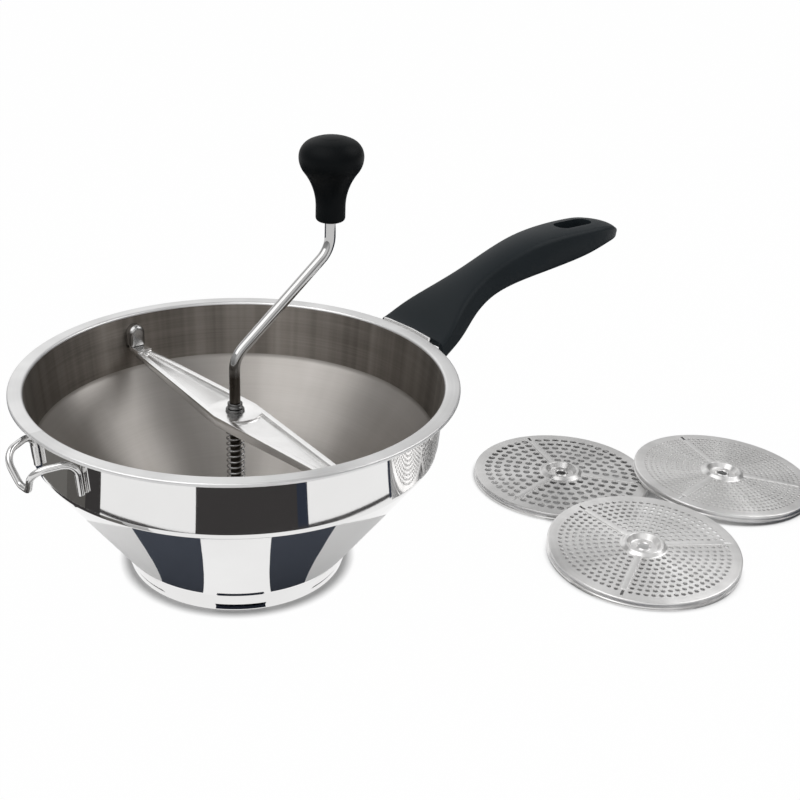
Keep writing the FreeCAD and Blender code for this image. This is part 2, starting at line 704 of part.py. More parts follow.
def tongue(width, thickness, start, end):
    """Sloping bar from the bracket into the handle, seen from its underside line."""
    slope = math.radians(TONGUE_SLOPE)
    x0 = MOUTH_RADIUS + TONGUE_ROOT
    grow = (thickness - TONGUE_THICKNESS) / 2

    def at(x, offset):
        return Vector(x, -width / 2, TONGUE_BASE + (x - x0) * math.tan(slope) + offset / math.cos(slope))

    corners = [at(start, -grow), at(end, -grow), at(end, TONGUE_THICKNESS + grow),
               at(start, TONGUE_THICKNESS + grow)]
    face = Part.Face(Part.makePolygon(corners + corners[:1]))
    return face.extrude(Vector(0, width, 0))


def screw_axis():
    """Point on the tongue's underside and direction of the handle screw."""
    slope = math.radians(TONGUE_SLOPE)
    x0 = MOUTH_RADIUS + TONGUE_ROOT
    foot = Vector(SCREW_STATION, 0, TONGUE_BASE + (SCREW_STATION - x0) * math.tan(slope))
    return foot, Vector(-math.sin(slope), 0, math.cos(slope))


def screw_cylinder(radius, low, high):
    """Cylinder on the screw's axis, measured from the tongue's underside."""
    foot, direction = screw_axis()
    return Part.makeCylinder(radius, high - low, foot + direction * low, direction)


SCREW_END = TONGUE_THICKNESS + SCREW_PAST


def make_handle():
    wires = [handle_section(*station, tilt) for station, tilt in zip(HANDLE_STATIONS, handle_tilts())]
    grip = Part.makeLoft(wires, True, False)
    grip = grip.cut(handle_hollow())
    grip = grip.cut(hanging_hole())
    grip = grip.cut(tongue(TONGUE_WIDTH + 2 * ASSEMBLY_GAP, TONGUE_THICKNESS + 2 * ASSEMBLY_GAP,
                           HANDLE_START - CUT_PAST, TONGUE_END + ASSEMBLY_GAP))
    # Blind hole for the screw, and the counterbore for its head.
    grip = grip.cut(screw_cylinder(SCREW_RADIUS + ASSEMBLY_GAP, -SCREW_SEAT, SCREW_END + ASSEMBLY_GAP))
    grip = grip.cut(screw_cylinder(SCREW_HEAD_RADIUS + 2 * ASSEMBLY_GAP, -SCREW_SEAT - COUNTERBORE,
                                   -SCREW_SEAT))
    return max(grip.Solids, key=lambda solid: solid.Volume)


def make_bracket():
    """Steel bracket hugging the wall under the rim, with its tongue."""
    low = BRACKET_BASE
    high = RIM_HEIGHT - RIM_HEM - BRACKET_DROP
    band = wall_plug(BRACKET_SHEET).cut(wall_plug())
    band = band.common(Part.makeBox(FAR, FAR, high - low, Vector(0, -FAR / 2, low)))
    # Shelf under the rim, and the upstand outside it.
    inner = RIM_RADIUS + SEAT_GAP
    shelf = cylinder(inner + BRACKET_SHEET, high - BRACKET_SHEET, high).cut(wall_plug())
    upstand = tube(inner + BRACKET_SHEET, inner, high - BRACKET_SHEET, RIM_HEIGHT + BRACKET_PROUD)
    half = math.radians(BRACKET_HALF_ANGLE)
    sector = polygon_prism([(0, 0), (FAR, FAR * math.tan(half)), (FAR, -FAR * math.tan(half))],
                           low - CUT_PAST, RIM_HEIGHT + BRACKET_PROUD + CUT_PAST)
    ring = band.fuse([shelf, upstand]).common(sector)
    arm = tongue(TONGUE_WIDTH, TONGUE_THICKNESS, MOUTH_RADIUS - SHEET, TONGUE_END).cut(wall_plug())
    bracket = ring.fuse(arm).removeSplitter()
    return bracket.cut(screw_cylinder(SCREW_RADIUS, -SCREW_SEAT, SCREW_END))


def make_handle_screw():
    foot, direction = screw_axis()
    shank = screw_cylinder(SCREW_RADIUS, -SCREW_SEAT, SCREW_END)
    head = screw_cylinder(SCREW_HEAD_RADIUS, -SCREW_SEAT - SCREW_HEAD, -SCREW_SEAT)
    reach = SCREW_HEAD_RADIUS + CUT_PAST
    slot = Part.makeBox(SCREW_SLOT, 2 * reach, SCREW_SLOT, Vector(-SCREW_SLOT / 2, -reach, 0))
    slot.Placement = FreeCAD.Placement(foot - direction * (SCREW_SEAT + SCREW_HEAD),
                                       Rotation(UP, direction)).multiply(slot.Placement)
    return shank.fuse(head).cut(slot).removeSplitter()


# ---------------------------------------------------------------- pan hook
def make_pan_hook():
    """One wire: a leg up the wall, over an arch, out and down round a loop, and back."""
    r = HOOK_WIRE / 2
    half = HOOK_SPREAD / 2

    def leg(z):
        """Where the wire lies against the outside of the wall."""
        reach = outer_wall_radius(z) + r + ASSEMBLY_GAP
        return (math.sqrt(reach ** 2 - half ** 2), half, z)

    near = [leg(HOOK_FOOT), leg(HOOK_TOP), HOOK_SHOULDER, HOOK_TIP]
    far = [(x, -y, z) for x, y, z in reversed(near)]
    bends = [HOOK_ARCH_BEND, HOOK_SHOULDER_BEND, HOOK_TIP_BEND]
    hook = wire_rod(near + far, bends + bends[::-1], r)
    hook.rotate(ORIGIN, UP, HOOK_AZIMUTH)
    return hook


# ---------------------------------------------------------------- sieve discs
FIELD_INNER = DISC_HUB_RADIUS + DISC_HUB_RUN
FIELD_OUTER = DISC_RADIUS - DISC_BORDER


def make_disc_blank():
    crown = DISC_SKIRT + DISC_CROWN
    cup = crown - DISC_CUP_DEPTH
    path = [(ROD_RADIUS + DISC_HOLE_CLEARANCE, cup),
            (DISC_CUP_RADIUS, cup),
            (DISC_HUB_RADIUS - DISC_HUB_FLAT, crown),
            (DISC_HUB_RADIUS, crown),
            (FIELD_INNER, DISC_SKIRT),
            (DISC_RADIUS - DISC_CHAMFER, DISC_SKIRT),
            (DISC_RADIUS, DISC_SKIRT - DISC_CHAMFER),
            (DISC_RADIUS, 0)]
    sharp_corners = [0] * (len(path) - 2)
    return revolve(sheet_profile(path, sharp_corners, DISC_SHEET))


def make_disc_envelope():
    """Disc filled in below and from its hub ring to its border, to space the discs by."""
    crown = DISC_SKIRT + DISC_CROWN
    return turned([(0, 0), (DISC_RADIUS, 0), (DISC_RADIUS, DISC_SKIRT - DISC_CHAMFER),
                   (DISC_RADIUS - DISC_CHAMFER, DISC_SKIRT), (DISC_HUB_RADIUS, crown), (0, crown)])


def turned_about_axis(tool, degrees):
    tool.rotate(ORIGIN, UP, degrees)
    return tool


def sieve_holes(hole, rings, pitch, ribs):
    """Square prisms for the holes, ring by ring, leaving the plain ribs between them,
    with a slot at the outer end of each rib."""
    inner = FIELD_INNER + HOLE_MARGIN + hole / 2
    outer = FIELD_OUTER - HOLE_MARGIN - hole / 2
    sector = 360.0 / RIB_COUNT
    tall = DISC_SKIRT + DISC_CROWN
    tools = []
    for rib_number in range(RIB_COUNT):
        bearing = ribs + rib_number * sector
        slot = Part.makeBox(SLOT_LENGTH, SLOT_WIDTH, tall,
                            Vector(SLOT_CENTRE - SLOT_LENGTH / 2, -SLOT_WIDTH / 2, 0))
        tools.append(turned_about_axis(slot, bearing))
        for ring in range(rings):
            r = inner + (outer - inner) * ring / (rings - 1)
            rib = math.degrees((RIB_WIDTH + hole) / 2 / r)
            free = sector - 2 * rib
            count = max(int(free / math.degrees(pitch / r)), 1)
            for k in range(count):
                hole_tool = Part.makeBox(hole, hole, tall, Vector(r - hole / 2, -hole / 2, 0))
                tools.append(turned_about_axis(hole_tool, bearing + rib + free * (k + 0.5) / count))
    return Part.makeCompound(tools)


def lean_on(envelope, place, bearing, supports):
    """Pivot, hinge and tilt of a disc whose far edge is on the surface and whose near
    edge lies on other discs, found by halving the tilt until the seat gap is left."""
    direction = polar(ORIGIN, 1, bearing)
    hinge = direction.cross(UP)
    pivot = place + direction * DISC_RADIUS
    low, high = 0.0, MOST_TILT
    for _ in range(TILT_STEPS):
        tilt = (low + high) / 2
        trial = envelope.copy()
        trial.translate(place)
        trial.rotate(pivot, hinge, -tilt)
        if min(trial.distToShape(support)[0] for support in supports) > SEAT_GAP:
            high = tilt
        else:
            low = tilt
    return pivot, hinge, -high


def leaning(shape, place, lean):
    """Copy of a shape at its place, turned about its pivot."""
    moved = shape.copy()
    moved.translate(place)
    moved.rotate(*lean)
    return moved


def polar(start, distance, bearing):
    angle = math.radians(bearing)
    return start + Vector(distance * math.cos(angle), distance * math.sin(angle), 0)


def make_discs():
    """Three discs: one flat on the surface, the others each leaning on those before."""
    blank = make_disc_blank()
    envelope = make_disc_envelope()
    coarse_place = Vector(*COARSE_PLACE, 0)
    flat = (coarse_place, UP, 0)
    coarse_form = leaning(envelope, coarse_place, flat)

    fine_place = polar(coarse_place, 2 * DISC_RADIUS - FINE_OVERLAP, FINE_BEARING)
    fine_lean = lean_on(envelope, fine_place, FINE_BEARING, [coarse_form])
    fine_form = leaning(envelope, fine_place, fine_lean)

    medium_place = polar(coarse_place, 2 * DISC_RADIUS - MEDIUM_OVERLAP, MEDIUM_BEARING)
    away = medium_place - (coarse_place + fine_place) * 0.5
    bearing = math.degrees(math.atan2(away.y, away.x))
    medium_lean = lean_on(envelope, medium_place, bearing, [coarse_form, fine_form])

    coarse = blank.cut(sieve_holes(COARSE_HOLE, COARSE_RINGS, COARSE_PITCH, COARSE_RIBS))
    medium = blank.cut(sieve_holes(MEDIUM_HOLE, MEDIUM_RINGS, MEDIUM_PITCH, MEDIUM_RIBS))
    fine = blank.cut(sieve_holes(FINE_HOLE, FINE_RINGS, FINE_PITCH, FINE_RIBS))
    return {"disc_coarse": leaning(coarse, coarse_place, flat),
            "disc_medium": leaning(medium, medium_place, medium_lean),
            "disc_fine": leaning(fine, fine_place, fine_lean)}


# ---------------------------------------------------------------- build
def main():
    os.makedirs("parts", exist_ok=True)
    save(make_bowl(), "bowl")
    save(make_hood(1), "hood_left")
    save(make_hood(-1), "hood_right")
    save(make_bracket(), "handle_bracket")
    save(make_handle(), "handle_grip")
    save(make_handle_screw(), "handle_screw")
    save(make_pan_hook(), "pan_hook")
    save(make_crossbar(), "crossbar")
    save(make_bar_bush(), "bar_bush")
    save(make_washer(UPPER_WASHER_TOP - WASHER_THICKNESS), "spring_washer_upper")
    save(make_spring(), "spring")
    save(make_washer(HUB_TOP), "spring_washer_lower")
    save(make_crank_rod(), "crank_rod")
    save(make_crank_collar(), "crank_collar")
    lobes = make_blade()
    save(lobes[0], "blade_front")
    save(lobes[1], "blade_rear")
    save(make_blade_hub(), "blade_hub")
    save(make_hub_pin(), "hub_pin")
    save(make_knob(), "knob")
    save(make_knob_cap(), "knob_cap")
    save(make_knob_stop(), "knob_stop")
    save(make_knob_retainer(), "knob_retainer")
    for node, disc in make_discs().items():
        save(disc, node)


main()
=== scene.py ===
"""Dresses a hand-cranked food mill: bowl, handle, crank, crossbar and three sieve discs."""
import json
import math

import bpy
from mathutils import Matrix, Vector

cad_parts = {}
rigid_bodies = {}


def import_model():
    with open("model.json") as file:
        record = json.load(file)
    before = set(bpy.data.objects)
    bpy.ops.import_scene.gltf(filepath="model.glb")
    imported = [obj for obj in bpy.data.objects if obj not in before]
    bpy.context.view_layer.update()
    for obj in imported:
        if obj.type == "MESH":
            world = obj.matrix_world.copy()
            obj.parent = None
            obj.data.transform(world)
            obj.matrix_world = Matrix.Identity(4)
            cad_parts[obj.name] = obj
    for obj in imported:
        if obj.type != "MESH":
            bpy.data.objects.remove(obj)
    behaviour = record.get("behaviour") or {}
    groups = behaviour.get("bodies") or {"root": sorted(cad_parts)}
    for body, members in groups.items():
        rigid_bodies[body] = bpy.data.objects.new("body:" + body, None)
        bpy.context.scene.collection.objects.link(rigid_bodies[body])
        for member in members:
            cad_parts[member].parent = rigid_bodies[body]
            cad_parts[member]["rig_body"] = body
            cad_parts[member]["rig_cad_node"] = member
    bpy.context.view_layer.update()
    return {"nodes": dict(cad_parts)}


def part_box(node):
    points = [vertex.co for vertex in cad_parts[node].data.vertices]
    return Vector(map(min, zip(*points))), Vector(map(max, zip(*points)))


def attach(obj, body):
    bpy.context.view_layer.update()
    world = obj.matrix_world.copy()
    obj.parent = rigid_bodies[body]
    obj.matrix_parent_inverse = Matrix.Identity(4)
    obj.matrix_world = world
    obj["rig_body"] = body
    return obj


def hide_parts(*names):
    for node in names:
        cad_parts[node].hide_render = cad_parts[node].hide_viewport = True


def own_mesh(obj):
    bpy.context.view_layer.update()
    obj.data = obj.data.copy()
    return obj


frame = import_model()

bl_info = {
    "name": "Food mill dresser",
    "version": (1, 0, 0),
    "blender": (4, 5, 0),
    "location": "3D View > Sidebar > Food mill",
    "description": "Builds the visible pieces of a hand-cranked food mill round its packed frame",
    "category": "Object",
}

MM = 0.001
IMAGE = 800                 # the picture's side, in pixels


# ---- shader maths
class Field:
    """One shader value or colour that takes part in plain arithmetic."""

    def __init__(self, finish, socket):
        self.finish = finish
        self.socket = socket

    def math(self, operation, other=None, swapped=False):
        inputs = [self] if other is None else ([other, self] if swapped else [self, other])
        return self.finish.node("ShaderNodeMath", {"operation": operation}, dict(enumerate(inputs)))

    def __add__(self, other):
        return self.math("ADD", other)

    __radd__ = __add__

    def __mul__(self, other):
        return self.math("MULTIPLY", other)

    __rmul__ = __mul__

    def __sub__(self, other):
        return self.math("SUBTRACT", other)

    def __rsub__(self, other):
        return self.math("SUBTRACT", other, swapped=True)

    def __truediv__(self, other):
        return self.math("DIVIDE", other)

    def __rtruediv__(self, other):
        return self.math("DIVIDE", other, swapped=True)

    def __pow__(self, other):
        return self.math("POWER", other)

    def clamp(self):
        return self.math("MINIMUM", 1.0).math("MAXIMUM", 0.0)


class Nodes:
    """A shader's nodes, added one by one."""

    def __init__(self, tree):
        self.tree = tree

    def node(self, kind, settings=None, inputs=None, output=0):
        """Adds a node, sets it, feeds its inputs and gives one of its outputs."""
        made = self.tree.nodes.new(kind)
        for key, value in (settings or {}).items():
            setattr(made, key, value)
        for key, value in (inputs or {}).items():
            if isinstance(value, Field):
                self.tree.links.new(value.socket, made.inputs[key])
            else:
                made.inputs[key].default_value = value
        return Field(self, made.outputs[output])

    def place(self):
        """The piece's own coordinates, in metres."""
        return self.node("ShaderNodeTexCoord", output=3)

    def parts(self, vector):
        split = self.tree.nodes.new("ShaderNodeSeparateXYZ")
        self.tree.links.new(vector.socket, split.inputs[0])
        return [Field(self, split.outputs[i]) for i in range(3)]

    def joined(self, x, y, z):
        return self.node("ShaderNodeCombineXYZ", inputs={0: x, 1: y, 2: z})

    def noise(self, vector, scale, detail, roughness=0.5):
        inputs = {"Vector": vector, "Scale": scale, "Detail": detail, "Roughness": roughness}
        return self.node("ShaderNodeTexNoise", inputs=inputs)

    def moved(self, vector, centre):
        return self.node("ShaderNodeMapping", {"vector_type": "POINT"},
                         {"Vector": vector, "Location": [-c for c in centre]})

    def blend(self, share, first, second):
        """Colour between two colours."""
        return self.node("ShaderNodeMix", {"data_type": "RGBA"}, {0: share, 6: first, 7: second}, 2)

    def bump(self, height, strength, depth):
        """Fine relief, its depth in metres."""
        return self.node("ShaderNodeBump",
                         inputs={"Height": height, "Strength": strength, "Distance": depth})


class Finish(Nodes):
    """A procedural material round one Principled shader."""

    def __init__(self, name):
        self.material = bpy.data.materials.new(name)
        self.material.use_nodes = True
        super().__init__(self.material.node_tree)
        self.shader = self.tree.nodes["Principled BSDF"]

    def set(self, **values):
        """Feeds the shader: underscores in a name stand for spaces."""
        for key, value in values.items():
            socket = self.shader.inputs[key.replace("_", " ")]
            if isinstance(value, Field):
                self.tree.links.new(value.socket, socket)
            else:
                socket.default_value = value
        return self.material


def grey(value, warmth=0.0):
    """A near-grey colour; warmth tips it towards yellow."""
    return (value * (1 + warmth), value, value * (1 - warmth), 1.0)


def round_coordinates(finish, centre, along, across):
    """Coordinates for a pattern that runs round an upright axis, with the radius and the angle."""
    x, y, z = finish.parts(finish.moved(finish.place(), centre))
    radius = (x * x + y * y).math("SQRT")
    angle = y.math("ARCTAN2", x)
    return finish.joined(radius * across, angle * along, z * across), radius, angle


def polished_steel(name, tone=0.80, roughness=0.025):
    """Mirror polish of the bowl's outside: faint wipe marks and a pressing's slight waviness."""
    finish = Finish(name)
    wipes, _, _ = round_coordinates(finish, (0, 0, 0), 0.35, 1600.0)
    fine = finish.noise(wipes, 1.0, 2.0)
    cloud = finish.noise(finish.place(), 28.0, 4.0)
    rough = roughness + cloud * 0.02 + fine * 0.01
    colour = finish.blend(cloud, grey(tone * 0.95, 0.008), grey(tone * 1.04, 0.004))
    wavy = finish.bump(finish.noise(finish.place(), 14.0, 1.0), 0.8, 0.0005)
    return finish.set(Base_Color=colour, Metallic=1.0, Roughness=rough, Normal=wavy)


def rod_steel(name, tone=0.50, low_tone=0.055, change=0.121, fade=0.012):
    """Bright drawn rod, darker and duller below the height of the change."""
    finish = Finish(name)
    height = finish.parts(finish.place())[2]
    below_change = ((change - height) / fade).clamp()
    cloud = finish.noise(finish.place(), 90.0, 4.0)
    bright = finish.blend(cloud, grey(tone * 0.88, 0.01), grey(tone * 1.1, 0.005))
    colour = finish.blend(below_change, bright, grey(low_tone, 0.15))
    rough = cloud * 0.08 + below_change * 0.2 + 0.04
    return finish.set(Base_Color=colour, Metallic=1.0, Roughness=rough)


def brushed_round_steel(name, tone, roughness, centre=(0, 0, 0), lines=900.0, warmth=0.03,
                        depth=0.12, stretch=0.0, wedges=2.2, contrast=1.0):
    """Steel brushed in rings, as on a spun bowl or a pressed disc, with paler and darker wedges
    painted into its colour as a painted reflection of the brushing.

    A stretch above nothing draws the gloss out across the rings.
    """
    finish = Finish(name)
    rings, radius, angle = round_coordinates(finish, centre, 1.1, lines)
    scratch = finish.noise(rings, 1.0, 3.0, 0.6)
    wide, _, _ = round_coordinates(finish, centre, 1.6, lines * 0.12)
    band = finish.noise(wide, 1.0, 2.0)
    cloud = finish.noise(finish.place(), 22.0, 4.0)
    # Noise round the axis paints paler and darker wedges into the colour: painted reflection, as
    # the brushing shows under lamps.
    reflection_wedge = finish.noise(finish.joined(angle * wedges, radius * 6.0, 0.0), 1.0, 3.0, 0.6)
    share = (scratch * 0.35 + band * 0.25 + reflection_wedge * 1.2 - 0.4).clamp()
    colour = finish.blend(share, grey(tone * (1 - 0.28 * contrast), warmth),
                          grey(tone * (1 + 0.20 * contrast), warmth * 0.6))
    rough = roughness + scratch * 0.12 + cloud * 0.06
    brushed = finish.bump(scratch, depth, 0.0003)
    return finish.set(Base_Color=colour, Metallic=1.0, Roughness=rough, Normal=brushed,
                      Anisotropic=stretch, Anisotropic_Rotation=0.25)


def bright_steel(name, tone, roughness, depth=0.06):
    """Plated or polished small steel, with slight handling marks."""
    finish = Finish(name)
    cloud = finish.noise(finish.place(), 90.0, 4.0)
    speck = finish.noise(finish.place(), 500.0, 2.0)
    colour = finish.blend(cloud, grey(tone * 0.86, 0.01), grey(tone * 1.1, 0.005))
    rough = roughness + cloud * 0.1 + speck * 0.04
    dents = finish.bump(speck, depth, 0.0002)
    return finish.set(Base_Color=colour, Metallic=1.0, Roughness=rough, Normal=dents)


def satin_phenolic(name, tone, roughness, sheen):
    """Black moulded phenolic with a soft sheen and a fine mould grain."""
    finish = Finish(name)
    grain = finish.noise(finish.place(), 2600.0, 3.0, 0.6)
    cloud = finish.noise(finish.place(), 35.0, 4.0)
    colour = finish.blend(cloud, (tone * 0.7, tone, tone * 1.2, 1),
                          (tone * 1.0, tone * 1.4, tone * 1.7, 1))
    rough = roughness + cloud * 0.1 + grain * 0.05
    skin = finish.bump(grain, 0.12, 0.0002)
    return finish.set(Base_Color=colour, Roughness=rough, Normal=skin, Specular_IOR_Level=sheen)


FINISHES = {}
# Each disc's tone is set to how brightly it is lit where it lies: lit and shaded copies of one
# steel, painted light.
DISC_TONES = {"disc_coarse": 0.68, "disc_medium": 0.86, "disc_fine": 0.78}


def finish_of(name):
    """The object's finishes, each made once."""
    if not FINISHES:
        FINISHES.update({
            "mirror": polished_steel("mirror polished steel"),
            # The inside wall is a darker, browner copy of the cone's brushed steel with strong
            # wedges: painted shade and painted reflection on the wall under the rim.
            "inside": brushed_round_steel("brushed inside steel", 0.26, 0.32, warmth=0.15,
                                          depth=0.10, stretch=0.85, wedges=7.0, contrast=2.6),
            "cone": brushed_round_steel("brushed cone steel", 0.44, 0.34, warmth=0.07,
                                        depth=0.10, stretch=0.85),
            "rim": brushed_round_steel("satin rim steel", 0.74, 0.30, lines=700.0,
                                       warmth=0.004, depth=0.05),
            "bar": bright_steel("polished bar steel", 0.88, 0.17),
            "chrome": rod_steel("bright rod steel"),
            "wire": bright_steel("bright hook wire", 0.70, 0.05, depth=0.02),
            "spring": bright_steel("spring wire", 0.38, 0.16),
            "turned": bright_steel("turned steel", 0.13, 0.16),
            "plain": bright_steel("plain steel", 0.55, 0.25),
            "hood": bright_steel("pressed hood steel", 0.45, 0.16),
            "bracket": bright_steel("bracket steel", 0.80, 0.15),
            "blade": brushed_round_steel("brushed blade steel", 0.55, 0.25, lines=600.0,
                                         warmth=0.01),
            "handle": satin_phenolic("satin handle phenolic", 0.012, 0.40, 0.15),
            "knob": satin_phenolic("satin knob phenolic", 0.003, 0.40, 0.08),
        })
        for node, tone in DISC_TONES.items():
            low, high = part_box(node)
            FINISHES[node] = brushed_round_steel(
                "satin " + node.replace("_", " "), tone, 0.27, (low + high) / 2, lines=700.0,
                warmth=0.012, depth=0.06, stretch=0.7)
    return FINISHES[name]


# ---- hand tools
def object_mode():
    if bpy.context.mode != "OBJECT":
        bpy.ops.object.mode_set(mode="OBJECT")
    bpy.ops.object.select_all(action="DESELECT")


def hold(piece):
    """Selects one piece alone, outside edit mode."""
    object_mode()
    bpy.context.view_layer.objects.active = piece
    piece.select_set(True)


def edit(piece):
    """Opens a piece for editing with nothing selected."""
    hold(piece)
    bpy.ops.object.mode_set(mode="EDIT")
    bpy.ops.mesh.select_mode(type="VERT")
    bpy.ops.mesh.select_all(action="DESELECT")


def settle(piece, name=None):
    """Leaves edit mode and puts the piece's place into its mesh."""
    hold(piece)
    if name:
        piece.name = name
        piece.data.name = name
    bpy.ops.object.transform_apply(location=True, rotation=True, scale=True)
    return piece


def apply_modifiers(piece):
    hold(piece)
    for modifier in list(piece.modifiers):
        bpy.ops.object.modifier_apply(modifier=modifier.name)
    return piece


def outward(piece):
    """Turns every face of a closed piece outwards."""
    edit(piece)
    bpy.ops.mesh.select_all(action="SELECT")
    bpy.ops.mesh.remove_doubles(threshold=0.000001)
    bpy.ops.mesh.normals_make_consistent(inside=False)
    object_mode()
    return piece


def wear(piece, *finishes):
    piece.data.materials.clear()
    for name in finishes:
        piece.data.materials.append(finish_of(name))


def finish_piece(piece, body, node, slot, *finishes, degrees=32.0):
    """The closing steps of every new piece."""
    if finishes:
        wear(piece, *finishes)
    hold(piece)
    bpy.ops.object.shade_smooth_by_angle(angle=math.radians(degrees))
    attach(piece, body)
    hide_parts(node)


def cut(piece, tool):
    """Takes a tool's shape out of a piece, and throws the tool away."""
    modifier = piece.modifiers.new("cut", "BOOLEAN")
    modifier.operation = "DIFFERENCE"
    modifier.object = tool
    modifier.solver = "MANIFOLD"
    apply_modifiers(piece)
    mesh = tool.data
    bpy.data.objects.remove(tool)
    bpy.data.meshes.remove(mesh)


def offset_path(points, distance):
    """Polyline moved sideways, to the right of its direction."""
    lines = []
    for (x0, y0), (x1, y1) in zip(points, points[1:]):
        length = math.hypot(x1 - x0, y1 - y0)
        nx, ny = (y1 - y0) / length * distance, -(x1 - x0) / length * distance
        lines.append(((x0 + nx, y0 + ny), (x1 + nx, y1 + ny)))
    moved = [lines[0][0]]
    for (a, b), (c, d) in zip(lines, lines[1:]):
        ux, uy, vx, vy = b[0] - a[0], b[1] - a[1], d[0] - c[0], d[1] - c[1]
        t = ((c[0] - a[0]) * vy - (c[1] - a[1]) * vx) / (ux * vy - uy * vx)
        moved.append((a[0] + ux * t, a[1] + uy * t))
    moved.append(lines[-1][1])
    return moved


def arc(centre, first, last, steps):
    """Points of the shorter arc round a centre, from the end of one arm to that of the other."""
    sweep = first.angle(last)
    points = []
    for k in range(steps + 1):
        t = k / steps
        a = math.sin((1 - t) * sweep) / math.sin(sweep)
        b = math.sin(t * sweep) / math.sin(sweep)
        points.append(centre + first * a + last * b)
    return points


def rounded(points, radii, steps):
    """Points along a polyline whose corners are arcs of the given radii."""
    corners = [Vector(p) for p in points]
    result = [corners[0]]
    for before, corner, after, radius in zip(corners, corners[1:], corners[2:], radii):
        if radius <= 0:
            result.append(corner)
            continue
        back, ahead = (before - corner).normalized(), (after - corner).normalized()
        half = back.angle(ahead) / 2
        centre = corner + (back + ahead).normalized() * (radius / math.sin(half))
        first = corner + back * (radius / math.tan(half)) - centre
        last = corner + ahead * (radius / math.tan(half)) - centre
        result += arc(centre, first, last, steps)
    result.append(corners[-1])
    return result


def sheet_outline(points, radii, thickness, steps):
    """Both faces of a bent sheet, as one closed outline."""
    right_radii = []
    for i, radius in enumerate(radii):
        (x0, y0), (x1, y1), (x2, y2) = points[i:i + 3]
        bend = (x1 - x0) * (y2 - y1) - (y1 - y0) * (x2 - x1)
        right_radii.append(radius + thickness if bend > 0 else max(radius - thickness, 0.0))
    left = rounded(points, radii, steps)
    right = rounded(offset_path(points, thickness), right_radii, steps)
    return left, right


def turn(name, outline, segments, centre=(0.0, 0.0)):
    """Turned piece: one ring extruded and scaled along an (r, z) outline in mm."""
    object_mode()
    cx, cy = centre[0] * MM, centre[1] * MM
    points = [(max(p[0], AXIS) * MM, p[1] * MM) for p in outline]
    r, z = points[0]
    bpy.ops.mesh.primitive_circle_add(vertices=segments, radius=r, location=(cx, cy, z))
    piece = settle(bpy.context.object)
    edit(piece)
    bpy.ops.mesh.select_mode(type="EDGE")
    bpy.ops.mesh.select_all(action="SELECT")
    for next_r, next_z in points[1:]:
        bpy.ops.mesh.extrude_edges_move(TRANSFORM_OT_translate={"value": (0, 0, next_z - z)})
        share = next_r / r
        bpy.ops.transform.resize(value=(share, share, 1), center_override=(cx, cy, 0))
        r, z = next_r, next_z
    bpy.ops.mesh.select_all(action="DESELECT")
    bpy.ops.mesh.select_non_manifold(extend=False)
    bpy.ops.mesh.bridge_edge_loops()
    settle(piece, name)
    return outward(piece)


def wire(name, path, radius, sides):
    """Round wire along a path in mm."""
    object_mode()
    bpy.ops.curve.primitive_nurbs_path_add()
    line = bpy.context.object
    curve = line.data
    curve.splines.clear()
    spline = curve.splines.new("POLY")
    spline.points.add(len(path) - 1)
    for point, place in zip(spline.points, path):
        point.co = (place[0] * MM, place[1] * MM, place[2] * MM, 1.0)
    curve.dimensions = "3D"
    curve.twist_mode = "MINIMUM"
    curve.bevel_depth = radius * MM
    curve.bevel_resolution = sides // 4
    curve.use_fill_caps = True
    bpy.ops.object.convert(target="MESH")
    piece = bpy.context.object
    settle(piece, name)
    return outward(piece)


def worked_copy(node, name, width, segments, degrees):
    """A copy of a node's shape, merged, with its sharp edges broken by a small bevel."""
    hold(frame["nodes"][node])
    bpy.ops.object.duplicate()
    piece = bpy.context.object
    piece.parent = None
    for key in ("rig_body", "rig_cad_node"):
        if key in piece:
            del piece[key]
    edit(piece)
    bpy.ops.mesh.select_all(action="SELECT")
    bpy.ops.mesh.remove_doubles(threshold=0.000002)
    bpy.ops.mesh.dissolve_limited(angle_limit=math.radians(0.6))
    settle(piece, name)
    bevel = piece.modifiers.new("broken edges", "BEVEL")
    bevel.width = width * MM
    bevel.segments = segments
    bevel.limit_method = "ANGLE"
    bevel.angle_limit = math.radians(degrees)
    return apply_modifiers(piece)


# ---- sizes
def length(name, default, description):
    return bpy.props.FloatProperty(name=name, default=default, description=description, min=0.0)


def position(name, default, description):
    return bpy.props.FloatVectorProperty(name=name, default=default, description=description)


class BowlSizes(bpy.types.PropertyGroup):
    """Sizes of the bowl, in millimetres."""
    sheet: length("Sheet", 0.8, "Thickness of the bowl's sheet")
    rim_radius: length("Rim radius", 120.0, "Outside of the rim")
    rim_height: length("Rim height", 109.2, "Top of the rim above the floor")
    rim_width: length("Rim width", 8.2, "Flat of the rim")
    rim_hem: length("Rim hem", 1.8, "Turned-down edge of the rim")
    draft: length("Draft", 2.9, "How much the wall narrows from rim to shoulder")
    shoulder: length("Shoulder", 75.2, "Height of the shoulder")
    foot_height: length("Foot height", 12.1, "Height of the foot ring")
    foot_top: length("Foot top", 62.4, "Inside radius where the cone meets the foot")
    foot_radius: length("Foot radius", 58.8, "Inside radius at the bottom of the foot")
    outlet: length("Outlet", 49.5, "Radius of the outlet")


